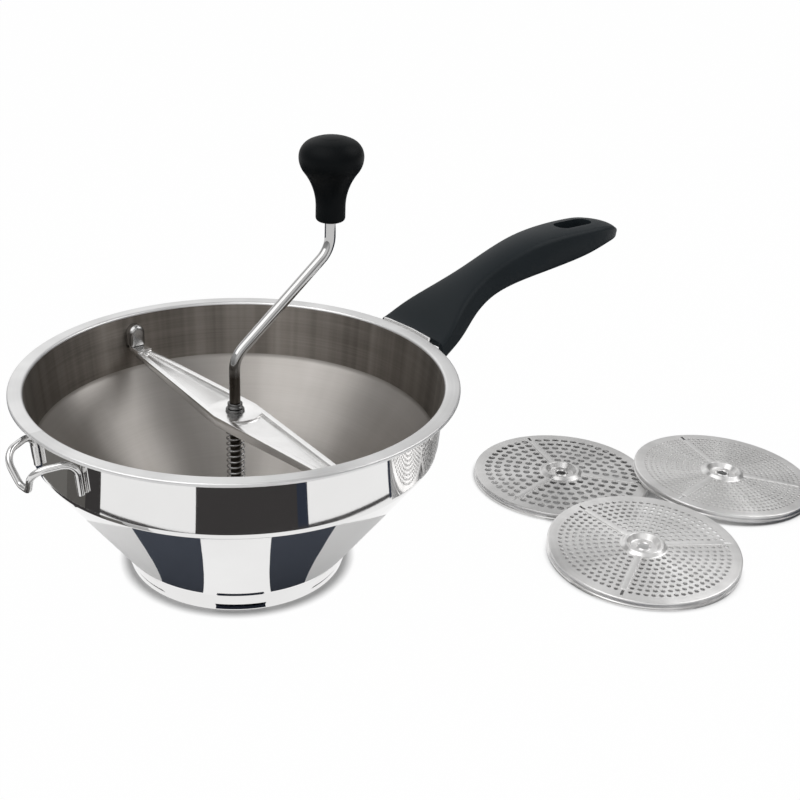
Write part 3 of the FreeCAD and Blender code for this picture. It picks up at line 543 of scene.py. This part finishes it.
class CrankSizes(bpy.types.PropertyGroup):
    """Sizes of the crank, its spring and its knob, in millimetres."""
    rod: length("Rod radius", 3.0, "Radius of the crank rod")
    reach: length("Reach", 62.5, "Axis of the mill to axis of the knob")
    lower_bend: length("Lower bend", 120.0, "Height of the lower bend")
    upper_bend: length("Upper bend", 168.6, "Height of the upper bend")
    bend: length("Bend", 15.0, "Radius of both bends")
    coil: length("Coil", 4.75, "Mean radius of the spring's coil")
    spring_wire: length("Spring wire", 1.0, "Diameter of the spring's wire")
    turns: bpy.props.IntProperty(name="Turns", default=14, description="Open turns of the spring")
    lift: length("Lift", 10.0, "How far the crank can be pulled up")
    fit: length("Running fit", 0.05, "Clearance round the rod")
    bush_wall: length("Bush wall", 1.6, "Thickness of the bush under its flange")
    flange: length("Flange", 1.2, "Thickness of the bush's flange")
    groove: length("Groove", 0.4, "Depth of the groove round the collar")


class KnobSizes(bpy.types.PropertyGroup):
    """Sizes of the knob, in millimetres."""
    knob: length("Knob radius", 17.3, "Widest radius")
    belly: length("Belly", 34.8, "Height of the widest place above the foot")
    neck: length("Neck radius", 8.0, "Radius of the neck")
    neck_height: length("Neck height", 8.0, "Straight part of the neck")
    foot_round: length("Foot round", 2.2, "Rounding of the foot")
    cheek: length("Cheek", 13.1, "Arc below the widest place")
    shoulder: length("Shoulder", 9.5, "Arc above the widest place")
    recess: length("Recess", 7.4, "Radius of the recess under the cap")
    recess_depth: length("Recess depth", 9.5, "Depth of that recess")
    cap_gap: length("Cap gap", 0.12, "Seam round the cap")
    stop: length("Pocket", 4.9, "Radius of the pocket for the ring under the knob")
    stop_depth: length("Pocket depth", 1.7, "Depth of that pocket")


class HookSizes(bpy.types.PropertyGroup):
    """Sizes of the pan hook, in millimetres: places are given out, across and up."""
    wire: length("Wire", 3.6, "Diameter of the wire")
    bearing: length("Bearing", 185.0, "Degrees from the handle")
    spread: length("Spread", 41.0, "Between the two legs")
    top: length("Top", 103.6, "Height of both arches")
    foot: length("Foot", 85.5, "Lower ends of the legs")
    gap: length("Gap", 0.1, "Wire to the wall")
    shoulder: position("Shoulder", (132.5, 12.5, 101.5), "Where each arm turns down")
    tip: position("Tip", (130.0, 4.0, 87.5), "Lowest corners of the loop")
    arch_bend: length("Arch bend", 7.5, "Bend radius of the arches")
    shoulder_bend: length("Shoulder bend", 9.0, "Bend radius of the shoulders")
    tip_bend: length("Tip bend", 4.0, "Bend radius of the loop's corners")


class DiscSizes(bpy.types.PropertyGroup):
    """Sizes of the sieve discs, in millimetres."""
    radius: length("Radius", 53.5, "Outside radius of a disc")
    sheet: length("Sheet", 0.8, "Thickness of a disc's sheet")
    skirt: length("Skirt", 4.5, "Depth of the turned-down skirt")
    bead: length("Bead", 0.5, "Roll at the skirt's lower edge")
    edge: length("Edge", 0.9, "Rounding between the border and the skirt")
    groove: length("Groove", 0.5, "How far the skirt stands back under the edge")
    border: length("Border", 5.2, "Plain border outside the holes")
    dome: length("Dome", 0.9, "Rise of the sieve field towards the hub")
    crown: length("Crown", 2.8, "Hub ring above the border")
    hub: length("Hub", 10.8, "Radius of the hub ring")
    hub_run: length("Hub run", 2.0, "Sloping part outside the hub ring")
    hub_flat: length("Hub flat", 1.4, "Flat of the hub ring")
    cup: length("Cup", 7.4, "Radius of the hub cup's floor")
    cup_depth: length("Cup depth", 3.0, "Depth of the hub cup")
    centre_hole: length("Centre hole", 3.5, "Radius of the centre hole")
    lip: length("Lip", 0.7, "Height of the lip round the centre hole")
    margin: length("Margin", 1.0, "Holes to the hub and to the border")
    rib_width: length("Rib width", 4.6, "Width of the plain ribs")
    rib_height: length("Rib height", 0.4, "Ribs above the sieve field")
    slot_length: length("Slot length", 4.6, "Slot at each rib's outer end")
    slot_width: length("Slot width", 1.5, "Width of that slot")
    slot_centre: length("Slot centre", 48.2, "Slot's middle from the disc's axis")
    hole_clear: length("Hole clearance", 0.4, "Holes to the plain ribs")
    flare: length("Flare", 0.25, "How much wider a hole is at its top")
    flare_depth: length("Flare depth", 0.35, "How deep that widening goes")
    rib_end: length("Rib end", 0.6, "A rib's ends to the hub's slope and to its slot")


AXIS = 0.001                # radius in mm that stands for the axis itself
SEAM = 0.1                  # from the last ring of a closed outline to its first, in mm


def sizes(kind):
    return getattr(bpy.context.scene, "mill_" + kind)


class Step:
    """One step of the dressing: an operator that runs its own build method."""

    def execute(self, context):
        self.build(context)
        return {"FINISHED"}


# ---- bowl and hoods
def mouth_radius(s):
    return s.rim_radius - s.rim_width


def inner_wall_radius(s, z):
    """Inside radius of the upright wall at a height."""
    return mouth_radius(s) - s.draft * (s.rim_height - z) / (s.rim_height - s.shoulder)


class MILL_OT_bowl(Step, bpy.types.Operator):
    """Spin the bowl: polished outside, brushed inside, satin rim"""
    bl_idname = "mill.bowl"
    bl_label = "Bowl"

    def build(self, context):
        s = sizes("bowl")
        profile = [(s.outlet, s.sheet), (s.foot_radius, s.sheet), (s.foot_top, s.foot_height),
                   (mouth_radius(s) - s.draft, s.shoulder), (mouth_radius(s), s.rim_height),
                   (s.rim_radius, s.rim_height), (s.rim_radius, s.rim_height - s.rim_hem)]
        left, right = sheet_outline(profile, [1.6, 2.4, 5.0, 1.6, 1.0], s.sheet, 8)
        bowl = turn("bowl_shell", left + right[::-1], 192)
        wear(bowl, "mirror", "inside", "cone", "rim")
        mirror, inside, cone, rim = range(4)
        rim_inside = (mouth_radius(s) - 0.3) * MM
        rim_low = (s.rim_height - s.rim_hem - 1.0) * MM
        wall_low = (s.shoulder + 2.0) * MM
        for face in bowl.data.polygons:
            c = face.center
            outwards = face.normal.x * c.x + face.normal.y * c.y > 0
            if math.hypot(c.x, c.y) > rim_inside and c.z > rim_low:
                face.material_index = rim
            elif outwards or face.normal.z < -0.5:
                face.material_index = mirror
            elif c.z > wall_low:
                face.material_index = inside
            else:
                face.material_index = cone
        finish_piece(bowl, "bowl", "bowl", "bowl_steel", degrees=24.0)


class MILL_OT_hoods(Step, bpy.types.Operator):
    """Press the two hoods that hold the crossbar down"""
    bl_idname = "mill.hoods"
    bl_label = "Hoods"

    def build(self, context):
        for node in ("hood_left", "hood_right"):
            hood = worked_copy(node, node + "_pressing", width=0.25, segments=2, degrees=30.0)
            finish_piece(hood, "bowl", node, "hood_steel", "hood", degrees=50.0)


# ---- crossbar and bush
class MILL_OT_crossbar(Step, bpy.types.Operator):
    """Press the crossbar and turn its bush"""
    bl_idname = "mill.crossbar"
    bl_label = "Crossbar"

    def build(self, context):
        bar = worked_copy("crossbar", "crossbar_pressing", width=0.45, segments=3, degrees=30.0)
        finish_piece(bar, "crossbar", "crossbar", "bar_steel", "bar", degrees=40.0)
        s = sizes("crank")
        low, high = (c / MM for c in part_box("bar_bush"))
        bore, neck, edge = s.rod + s.fit, s.rod + s.fit + s.bush_wall, high.x
        top, under = high.z, high.z - s.flange
        outline = rounded([(bore, low.z), (neck, low.z), (neck, under), (edge, under),
                           (edge, top), (bore, top), (bore, low.z + SEAM)],
                          [0.2, 0.2, 0.3, 0.5, 0.3], 3)
        bush = turn("bar_bush_turned", outline, 64)
        finish_piece(bush, "crossbar", "bar_bush", "bush_steel", "turned")


# ---- crank
class MILL_OT_crank(Step, bpy.types.Operator):
    """Bend the crank rod and turn its collar"""
    bl_idname = "mill.crank"
    bl_label = "Crank"

    def build(self, context):
        s = sizes("crank")
        low, high = (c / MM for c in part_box("crank_rod"))
        corners = [(0, 0, low.z), (0, 0, s.lower_bend), (s.reach, 0, s.upper_bend),
                   (s.reach, 0, high.z)]
        rod = wire("crank_rod_bent", rounded(corners, [s.bend, s.bend], 14), s.rod, 32)
        finish_piece(rod, "crank", "crank_rod", "rod_chrome", "chrome")
        low, high = (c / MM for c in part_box("crank_collar"))
        edge, middle = high.x, (low.z + high.z) / 2
        outline = rounded([(s.rod, low.z), (edge, low.z), (edge, middle - s.groove),
                           (edge - s.groove, middle), (edge, middle + s.groove),
                           (edge, high.z), (s.rod, high.z), (s.rod, low.z + SEAM)],
                          [0.3, 0.1, 0.1, 0.1, 0.5, 0], 3)
        collar = turn("crank_collar_turned", outline, 64)
        finish_piece(collar, "crank", "crank_collar", "bush_steel", "turned")


class MILL_OT_spring(Step, bpy.types.Operator):
    """Wind the spring, with its end turns closed"""
    bl_idname = "mill.spring"
    bl_label = "Spring"

    def build(self, context):
        s = sizes("crank")
        low, high = (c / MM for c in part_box("spring"))
        half = s.spring_wire / 2
        bottom, top = low.z + half, high.z - half
        steps = 28
        open_rise = top - bottom - 2 * s.spring_wire
        path = []
        total = s.turns + 2
        for k in range(total * steps + 1):
            turns = k / steps
            if turns < 1:
                z = bottom + s.spring_wire * turns
            elif turns > total - 1:
                z = top - s.spring_wire * (total - turns)
            else:
                z = bottom + s.spring_wire + open_rise * (turns - 1) / s.turns
            angle = 2 * math.pi * turns
            path.append((s.coil * math.cos(angle), s.coil * math.sin(angle), z))
        spring = wire("spring_coil", path, half, 12)
        finish_piece(spring, "spring_seat", "spring", "spring_steel", "spring", degrees=60.0)
        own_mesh(spring)


# ---- knob
def arc_points(centre, start, end, steps):
    """Points of the shorter arc between two points round a centre, the first left out."""
    c = Vector(centre)
    return [tuple(point) for point in arc(c, Vector(start) - c, Vector(end) - c, steps)[1:]]


def knob_side(s, base, top):
    """Outside of the knob from its foot to the recess, with its dome's centre and radius."""
    belly = base + s.belly
    neck_top = Vector((s.neck, base + s.neck_height))
    cheek = Vector((s.knob - s.cheek, belly))
    shoulder = Vector((s.knob - s.shoulder, belly))
    near, rise = s.neck - cheek.x, belly - neck_top.y
    waist_radius = (near ** 2 + rise ** 2 - s.cheek ** 2) / (2 * (s.cheek - near))
    waist = neck_top + Vector((waist_radius, 0))
    waist_end = cheek + (waist - cheek).normalized() * s.cheek
    high = top - belly
    dome_radius = (high ** 2 + shoulder.x ** 2 - s.shoulder ** 2) / (2 * (high - s.shoulder))
    dome = Vector((0, top - dome_radius))
    dome_edge = dome + (shoulder - dome).normalized() * dome_radius
    foot = (s.neck - s.foot_round, base)
    neck_low = (s.neck, base + s.foot_round)
    rim = (s.recess, dome.y + math.sqrt(dome_radius ** 2 - s.recess ** 2))
    side = [foot]
    side += arc_points((foot[0], neck_low[1]), foot, neck_low, 6)
    side.append(tuple(neck_top))
    side += arc_points(waist, neck_top, waist_end, 20)
    side += arc_points(cheek, waist_end, (s.knob, belly), 10)
    side += arc_points(shoulder, (s.knob, belly), dome_edge, 16)
    side += arc_points(dome, dome_edge, rim, 6)
    return side, dome, dome_radius


class MILL_OT_knob(Step, bpy.types.Operator):
    """Turn the knob and its cap"""
    bl_idname = "mill.knob"
    bl_label = "Knob"

    def build(self, context):
        s, crank = sizes("knob"), sizes("crank")
        axis = (crank.reach, 0)
        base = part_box("knob")[0].z / MM
        cap_low, top = (corner.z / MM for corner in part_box("knob_cap"))
        side, dome, dome_radius = knob_side(s, base, top)
        bore, floor, ceiling = crank.rod + crank.fit, top - s.recess_depth, base + s.stop_depth
        inner = [(s.recess, floor), (bore, floor), (bore, ceiling), (s.stop, ceiling),
                 (s.stop, base)]
        knob = turn("knob_turned", side + inner, 96, axis)
        finish_piece(knob, "knob", "knob", "knob_phenolic", "knob", degrees=40.0)
        edge = s.recess - s.cap_gap
        rim = (edge, dome.y + math.sqrt(dome_radius ** 2 - edge ** 2))
        cap_side = [(edge, cap_low), (edge, rim[1] - s.cap_gap)]
        cap_side += arc_points(dome, (edge - s.cap_gap, rim[1]), (AXIS, top), 8)
        cap = turn("knob_cap_turned", cap_side + [(AXIS, cap_low)], 96, axis)
        finish_piece(cap, "knob", "knob_cap", "knob_phenolic", "knob", degrees=40.0)


# ---- handle
class MILL_OT_handle(Step, bpy.types.Operator):
    """Mould the handle and dress its bracket"""
    bl_idname = "mill.handle"
    bl_label = "Handle"

    def build(self, context):
        grip = worked_copy("handle_grip", "handle_moulding", width=0.5, segments=3, degrees=50.0)
        finish_piece(grip, "bowl", "handle_grip", "handle_phenolic", "handle", degrees=40.0)
        bracket = worked_copy("handle_bracket", "handle_bracket_pressing", width=0.3, segments=2,
                              degrees=30.0)
        finish_piece(bracket, "bowl", "handle_bracket", "bracket_steel", "bracket", degrees=40.0)


# ---- pan hook
class MILL_OT_hook(Step, bpy.types.Operator):
    """Bend the wire pan hook"""
    bl_idname = "mill.hook"
    bl_label = "Pan hook"

    def build(self, context):
        s = sizes("hook")
        bowl = sizes("bowl")
        half, r = s.spread / 2, s.wire / 2
        slope = math.atan2(bowl.draft, bowl.rim_height - bowl.shoulder)

        def leg(z):
            """Where the wire lies against the outside of the wall."""
            reach = inner_wall_radius(bowl, z) + bowl.sheet / math.cos(slope) + r + s.gap
            return (math.sqrt(reach ** 2 - half ** 2), half, z)

        near = [leg(s.foot), leg(s.top), tuple(s.shoulder), tuple(s.tip)]
        far = [(x, -y, z) for x, y, z in reversed(near)]
        bends = [s.arch_bend, s.shoulder_bend, s.tip_bend]
        hook = wire("pan_hook_bent", rounded(near + far, bends + bends[::-1], 12), r, 24)
        hook.rotation_euler = (0, 0, math.radians(s.bearing))
        settle(hook)
        finish_piece(hook, "bowl", "pan_hook", "wire_chrome", "wire", degrees=60.0)


# ---- small pieces kept from the frame
class MILL_OT_small_pieces(Step, bpy.types.Operator):
    """Give the small construction pieces their finishes"""
    bl_idname = "mill.small_pieces"
    bl_label = "Small pieces"

    def build(self, context):
        finishes = {"handle_screw": "plain", "hub_pin": "plain", "blade_hub": "blade",
                    "blade_front": "blade", "blade_rear": "blade", "knob_stop": "turned",
                    "knob_retainer": "plain", "spring_washer_upper": "plain",
                    "spring_washer_lower": "plain"}
        for node, finish in finishes.items():
            wear(frame["nodes"][node], finish)


# ---- discs
SECTOR = 2 * math.pi / 3    # between two ribs
RIB_SHARE = 0.85            # of a plain strip's width

# For each disc: its body, hole radius, rings of holes, spacing and the bearing of a rib.
DISC_KINDS = {
    "disc_coarse": ("coarse_disc", 2.0, 6, 5.6, -51.0),
    "disc_medium": ("medium_disc", 1.15, 9, 3.9, -32.0),
    "disc_fine": ("fine_disc", 0.8, 11, 3.0, -51.0),
}


def disc_pose(node):
    """Matrix that carries a flat disc at the origin to the place of the frame's disc."""
    mesh = frame["nodes"][node].data
    axis = Vector()
    for face in mesh.polygons:
        if face.normal.z > 0.98:
            axis += face.normal * face.area
    turned_by = Vector((0, 0, 1)).rotation_difference(axis.normalized()).to_matrix()
    back = turned_by.inverted()
    flat = [back @ vertex.co for vertex in mesh.vertices]
    middle = [(min(p[n] for p in flat) + max(p[n] for p in flat)) / 2 for n in range(2)]
    place = turned_by @ Vector((middle[0], middle[1], min(p.z for p in flat)))
    return Matrix.Translation(place) @ turned_by.to_4x4()


def repeated(piece, angle, count):
    """Copies of a piece round the upright axis, as one piece."""
    object_mode()
    bpy.ops.object.empty_add(rotation=(0, 0, angle))
    hand = bpy.context.object
    ring = piece.modifiers.new("ring", "ARRAY")
    ring.use_relative_offset = False
    ring.use_object_offset = True
    ring.offset_object = hand
    ring.count = count
    bpy.context.view_layer.update()
    apply_modifiers(piece)
    bpy.data.objects.remove(hand)
    return piece


def joined(pieces, name):
    """Several pieces as one mesh."""
    object_mode()
    for piece in pieces:
        piece.select_set(True)
    bpy.context.view_layer.objects.active = pieces[0]
    bpy.ops.object.join()
    return settle(pieces[0], name)


def field_height(s, r):
    """Top of the shallow sieve cone at a radius."""
    inner, outer = s.hub + s.hub_run, s.radius - s.border
    return s.skirt + s.dome * (outer - r) / (outer - inner)


def punches(s, radius, rings, spacing, bearing):
    """Round punches with a widened top for every hole of a sieve field."""
    inner = s.hub + s.hub_run + s.margin + radius
    outer = s.radius - s.border - s.margin - radius
    wide = radius + s.flare
    made = []
    for ring in range(rings):
        r = inner + (outer - inner) * ring / (rings - 1)
        rib = (s.rib_width / 2 + radius + s.hole_clear) / r
        count = max(int((SECTOR - 2 * rib) * r / spacing) + 1, 2)
        top = field_height(s, r)
        below, above = top - 2, top + 1
        profile = [(AXIS, below), (radius, below), (radius, top - s.flare_depth),
                   (wide, top + 0.05), (wide, above), (AXIS, above)]
        punch = turn("punch", profile, 12, (r, 0))
        repeated(punch, (SECTOR - 2 * rib) / (count - 1), count)
        punch.rotation_euler = (0, 0, math.radians(bearing) + rib)
        settle(punch)
        repeated(punch, SECTOR, 3)
        made.append(punch)
    return joined(made, "punches")


def block(name, corners, width, thick):
    """Straight bar along X between two (x, z) places of its top."""
    (x0, z0), (x1, z1) = corners
    object_mode()
    bpy.ops.mesh.primitive_cube_add(size=1)
    bar = bpy.context.object
    bar.scale = (math.hypot(x1 - x0, z1 - z0) * MM, width * MM, thick * MM)
    bar.rotation_euler = (0, -math.atan2(z1 - z0, x1 - x0), 0)
    bar.location = ((x0 + x1) / 2 * MM, 0, ((z0 + z1) / 2 - thick / 2) * MM)
    return settle(bar, name)


def disc_ribs(s, bearing):
    """Three low rounded ribs along the plain strips of the field."""
    start, end = s.hub + s.hub_run - s.rib_end, s.slot_centre - s.slot_length / 2 - s.rib_end
    ends = [(r, field_height(s, r) + s.rib_height) for r in (start, end)]
    rib = block("rib", ends, s.rib_width * RIB_SHARE, s.rib_height + s.sheet / 2)
    bevel = rib.modifiers.new("soft", "BEVEL")
    bevel.width = s.rib_height * 0.95 * MM
    bevel.segments = 4
    apply_modifiers(rib)
    rib.rotation_euler = (0, 0, math.radians(bearing))
    settle(rib)
    return repeated(rib, SECTOR, 3)


def disc_slots(s, bearing):
    """Cutter for the slot at the outer end of each rib."""
    half, above, deep = s.slot_length / 2, 2, 6
    ends = [(s.slot_centre + side * half, s.skirt + above) for side in (-1, 1)]
    slot = block("slot", ends, s.slot_width, deep)
    slot.rotation_euler = (0, 0, math.radians(bearing))
    settle(slot)
    return repeated(slot, SECTOR, 3)


class MILL_OT_discs(Step, bpy.types.Operator):
    """Press the three sieve discs"""
    bl_idname = "mill.discs"
    bl_label = "Sieve discs"

    def build(self, context):
        s = sizes("disc")
        crown, cup = s.skirt + s.crown, s.skirt + s.crown - s.cup_depth
        waist = s.radius - s.groove
        under = s.skirt - 2 * s.edge
        top = [(s.centre_hole, cup + s.lip), (s.centre_hole + s.lip, cup), (s.cup, cup),
               (s.hub - s.hub_flat, crown), (s.hub, crown), (s.hub + s.hub_run, s.skirt + s.dome),
               (s.radius - s.border, s.skirt), (s.radius, s.skirt), (s.radius, under),
               (waist, under - s.groove), (waist, 3 * s.bead), (s.radius, 2 * s.bead),
               (s.radius, 0)]
        radii = [0.5, 0.9, 0.5, 0.6, 1.4, 6.0, s.edge, 0.3, 0.2, 0.2, 0.3]
        left, right = sheet_outline(top, radii, s.sheet, 6)
        for node, (body, radius, rings, spacing, bearing) in DISC_KINDS.items():
            disc = turn(node + "_pressing", left + right[::-1], 160)
            cut(disc, punches(s, radius, rings, spacing, bearing))
            cut(disc, disc_slots(s, bearing))
            disc = joined([disc, disc_ribs(s, bearing)], node + "_pressing")
            disc.matrix_world = disc_pose(node)
            settle(disc)
            finish_piece(disc, body, node, "disc_steel", node, degrees=35.0)


# ---- stage
CAMERA_TURN = 35.0          # degrees between the handle and the picture's right
CAMERA_DIP = 25.0           # degrees that it looks down
CAMERA_PLACE = (24.27, -645.75, 396.47)  # right, away and up from the mill's origin
FOCAL_PIXELS = 1322.4
CENTRE_PIXEL = 280.0        # column of the optical axis
SENSOR = 36.0
LAMPS = (                   # name, place, side in metres, watts and what it points at
    ("key", (-500, -300, 1100), 1.2, 7.0, (0, 0, 60)),
    ("side", (900, 200, 900), 0.8, 4.0, (80, 0, 60)),
)


def seen_from(right, away, up):
    """A place given along the picture's right, away and up, in metres."""
    a = math.radians(CAMERA_TURN)
    return Vector(((right * math.cos(a) + away * math.sin(a)) * MM,
                   (-right * math.sin(a) + away * math.cos(a)) * MM, up * MM))


# Cards that lie, lean or stand on the floor round the mill and show only in reflections: inner
# and outer radius and the heights of those edges in millimetres, first and last bearing from the
# camera's side in degrees, the colour, and how far the inner edge of a slanting card is turned on.
WARM_DARK = (0.052, 0.049, 0.049, 1.0)
COOL_DARK = (0.035, 0.042, 0.062, 1.0)
SHADED_DARK = (0.078, 0.088, 0.112, 1.0)
SHADED_GREY = (0.95, 0.95, 0.95, 1.0)
PALE_GREY = (0.55, 0.55, 0.55, 1.0)
WARM_GREY = (0.17, 0.165, 0.155, 1.0)
DEEP_GREY = (0.12, 0.115, 0.108, 1.0)
LAID = (0.4, 0.4)
LEANING = (12.5, 0.4)
UPRIGHT = (0.4, 4.0)
FLOOR_CARDS = (
    # seen in the upright wall
    (185, 270, LAID, -105, -80, WARM_GREY),
    (185, 270, LAID, -80, -67, DEEP_GREY),
    (185, 270, LAID, -67, -58, WARM_DARK),
    (190, 270, LAID, -14.4, 27, WARM_DARK),
    (190, 270, LAID, 27, 31.5, COOL_DARK),
    (248, 254, LAID, -58, 73, WARM_DARK),
    (191, 194, LAID, -58, 73, WARM_DARK),
    (190, 270, LAID, 73, 74.6, COOL_DARK),
    (185, 270, LAID, 74.6, 182, PALE_GREY),
    # seen in the pan hook and the shoulder
    (110, 184, LAID, -95, -58, WARM_DARK),
    (110, 184, LAID, -58, -46, WARM_GREY),
    (110, 184, LAID, -46, -34, PALE_GREY),
    # seen in the cone
    (64, 97, LEANING, -178, -50, SHADED_GREY),
    (64, 97, LEANING, -66, -50, SHADED_GREY, 13),
    (64, 97, LEANING, -50, -34, SHADED_DARK, 13),
    (64, 97, LEANING, -37, -14.5, SHADED_DARK),
    (64, 97, LEANING, 17.8, 36, SHADED_DARK),
    (64, 97, LEANING, 35, 51, SHADED_DARK, -15),
    (64, 97, LEANING, 51, 67, SHADED_GREY, -15),
    (64, 97, LEANING, 51, 182, SHADED_GREY),
    (94, 98, LAID, -14.5, 17.8, SHADED_DARK),
    # seen in the foot
    (59.8, 61.4, LAID, -9.5, 16.5, COOL_DARK),
    (61.4, 61.4, UPRIGHT, -9.5, 16.5, COOL_DARK),
    (61.4, 61.4, UPRIGHT, -95, -40, SHADED_GREY),
    (61.4, 61.4, UPRIGHT, 45, 95, SHADED_GREY),
    # behind the mill, seen inside the bowl and on the crank
    (300, 620, LAID, 95, 172, COOL_DARK),
    (150, 620, LAID, -172, -105, COOL_DARK),
)
DISC_CARD = (56, 60.5, LAID, -95, 95, COOL_DARK)  # in front of each disc, round its axis


class MILL_OT_stage(Step, bpy.types.Operator):
    """Set the floor, the lamps, the cards that the steel mirrors and the camera"""
    bl_idname = "mill.stage"
    bl_label = "Stage"

    def build(self, context):
        object_mode()
        bpy.ops.mesh.primitive_plane_add(size=6.0, location=(0, 0, 0))
        floor = settle(bpy.context.object, "floor")
        floor.data.materials.append(floor_finish())
        for number, card in enumerate(FLOOR_CARDS):
            floor_card("floor_card_%d" % number, *card)
        for node in DISC_KINDS:
            floor_card(node + "_card", *DISC_CARD, box=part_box(node))
        for row in LAMPS:
            studio_lamp(*row)
        studio_world(context.scene)
        camera_data = bpy.data.cameras.new("camera")
        camera = bpy.data.objects.new("camera", camera_data)
        context.scene.collection.objects.link(camera)
        camera.location = seen_from(*CAMERA_PLACE)
        camera.rotation_euler = (math.radians(90 - CAMERA_DIP), 0, math.radians(-CAMERA_TURN))
        camera_data.sensor_width = SENSOR
        camera_data.lens = FOCAL_PIXELS / IMAGE * SENSOR
        camera_data.shift_x = (IMAGE / 2 - CENTRE_PIXEL) / IMAGE
        camera_data.clip_start = 0.01
        context.scene.camera = camera
        context.scene.view_settings.view_transform = "Standard"


def studio_lamp(name, place, size, power, aim):
    data = bpy.data.lights.new(name, "AREA")
    data.size = size
    data.energy = power
    lamp = bpy.data.objects.new(name, data)
    bpy.context.scene.collection.objects.link(lamp)
    lamp.location = seen_from(*place)
    direction = seen_from(*aim) - lamp.location
    lamp.rotation_euler = direction.to_track_quat("-Z", "Y").to_euler()


def floor_card(name, inner, outer, heights, start, end, colour, slant=0, box=None):
    """Card that only reflections show: a sector of a ring round the mill or round a box."""
    centre = Vector()
    if box:
        centre = (box[0] + box[1]) / 2
        centre.z = 0.0
    bpy.ops.mesh.primitive_plane_add(size=1)
    card = bpy.context.object
    edit(card)
    bpy.ops.object.mode_set(mode="OBJECT")
    for vertex in card.data.vertices[:2]:
        vertex.select = True
    bpy.ops.object.mode_set(mode="EDIT")
    bpy.ops.mesh.delete(type="VERT")
    bpy.ops.object.mode_set(mode="OBJECT")
    bearings = (math.radians(start + slant), math.radians(start))
    for vertex, radius, height, a in zip(card.data.vertices, (inner, outer), heights, bearings):
        vertex.co = centre + seen_from(radius * math.sin(a), -radius * math.cos(a), height)
    edit(card)
    bpy.ops.mesh.select_all(action="SELECT")
    bpy.ops.mesh.spin(steps=max(int((end - start) / 2), 2), angle=math.radians(start - end),
                      center=centre, axis=(0, 0, 1))
    settle(card, name)
    matt = Finish(name).set(Base_Color=colour, Roughness=0.9, Specular_IOR_Level=0.0)
    card.data.materials.append(matt)
    card.visible_camera = False
    card.visible_diffuse = False
    card.visible_shadow = False


# How far round a piece the floor's painted contact shadow reaches.
FLOOR_REACH = 0.012         # metres within which a piece shades the floor


def floor_finish():
    """White to the camera and in polished steel; near and under the pieces an ambient-occlusion
    mask takes the white away, a painted contact shadow in which the floor's real lit shade shows.
    """
    finish = Finish("pale floor")
    seen = finish.node("ShaderNodeLightPath", output="Is Camera Ray")
    mirrored = finish.node("ShaderNodeLightPath", output="Is Glossy Ray")
    pale = finish.blend(seen, grey(0.4), grey(0.6))
    finish.set(Base_Color=pale, Roughness=0.9, Specular_IOR_Level=0.0)
    # Ambient occlusion paints the contact shadow: the glow fades where pieces are near, darkest
    # under the discs.
    above = finish.node("ShaderNodeAmbientOcclusion", inputs={"Distance": FLOOR_REACH}, output="AO")
    open_sky = ((above - 0.45) / 0.3).clamp()
    glow = finish.node("ShaderNodeEmission", inputs={"Color": grey(1.0), "Strength": 1.0})
    plain = Field(finish, finish.shader.outputs[0])
    share = seen * open_sky * 0.99 + mirrored
    mixed = finish.node("ShaderNodeMixShader", inputs={0: share, 1: plain, 2: glow})
    output = finish.tree.nodes["Material Output"]
    finish.tree.links.new(mixed.socket, output.inputs["Surface"])
    return finish.material


# Soft light seen in the steel: where it stands (right, away, up), how narrow and how bright.
WORLD_GLOWS = (
    ((-0.18, 0.86, 0.47), 5.0, 0.92),
    ((0.1, -0.86, 0.50), 6.0, 0.85),
    ((-0.80, -0.10, 0.60), 3.0, 0.30),
)
WORLD_LOW = 0.20            # everywhere else


def studio_world(scene):
    """White behind the part, and a few broad glows that light it and show in its steel."""
    world = scene.world or bpy.data.worlds.new("studio")
    scene.world = world
    world.use_nodes = True
    nodes = Nodes(world.node_tree)
    sight = nodes.node("ShaderNodeTexCoord", output="Generated")
    light = WORLD_LOW
    for place, narrow, bright in WORLD_GLOWS:
        towards = (seen_from(*place) / MM).normalized()
        facing = nodes.node("ShaderNodeVectorMath", {"operation": "DOT_PRODUCT"},
                            {0: sight, 1: towards}, "Value")
        light = facing.math("MAXIMUM", 0.0) ** narrow * bright + light
    seen = nodes.node("ShaderNodeLightPath", output="Is Camera Ray")
    colour = nodes.blend(seen, nodes.joined(light, light, light), (1, 1, 1, 1))
    back = world.node_tree.nodes["Background"]
    world.node_tree.links.new(colour.socket, back.inputs["Color"])
    back.inputs["Strength"].default_value = 1.0


# ---- add-on frame
OPERATORS = (MILL_OT_stage, MILL_OT_bowl, MILL_OT_hoods, MILL_OT_crossbar, MILL_OT_crank,
             MILL_OT_spring, MILL_OT_knob, MILL_OT_handle, MILL_OT_hook, MILL_OT_small_pieces,
             MILL_OT_discs)
GROUPS = {"bowl": BowlSizes, "crank": CrankSizes, "knob": KnobSizes, "hook": HookSizes,
          "disc": DiscSizes}


class MILL_PT_panel(bpy.types.Panel):
    """Lists the steps that dress the mill"""
    bl_label = "Food mill"
    bl_idname = "MILL_PT_panel"
    bl_space_type = "VIEW_3D"
    bl_region_type = "UI"
    bl_category = "Food mill"

    def draw(self, context):
        for operator in OPERATORS:
            self.layout.operator(operator.bl_idname)


CLASSES = tuple(GROUPS.values()) + OPERATORS + (MILL_PT_panel,)


def register():
    for kind in CLASSES:
        bpy.utils.register_class(kind)
    for name, group in GROUPS.items():
        setattr(bpy.types.Scene, "mill_" + name, bpy.props.PointerProperty(type=group))


def unregister():
    for name in GROUPS:
        delattr(bpy.types.Scene, "mill_" + name)
    for kind in reversed(CLASSES):
        bpy.utils.unregister_class(kind)


def corners(box):
    return [[float(v) for v in corner] for corner in box]


def main():
    register()
    for operator in OPERATORS:
        getattr(bpy.ops.mill, operator.bl_idname.split(".")[1])()


if __name__ == "__main__":
    main()
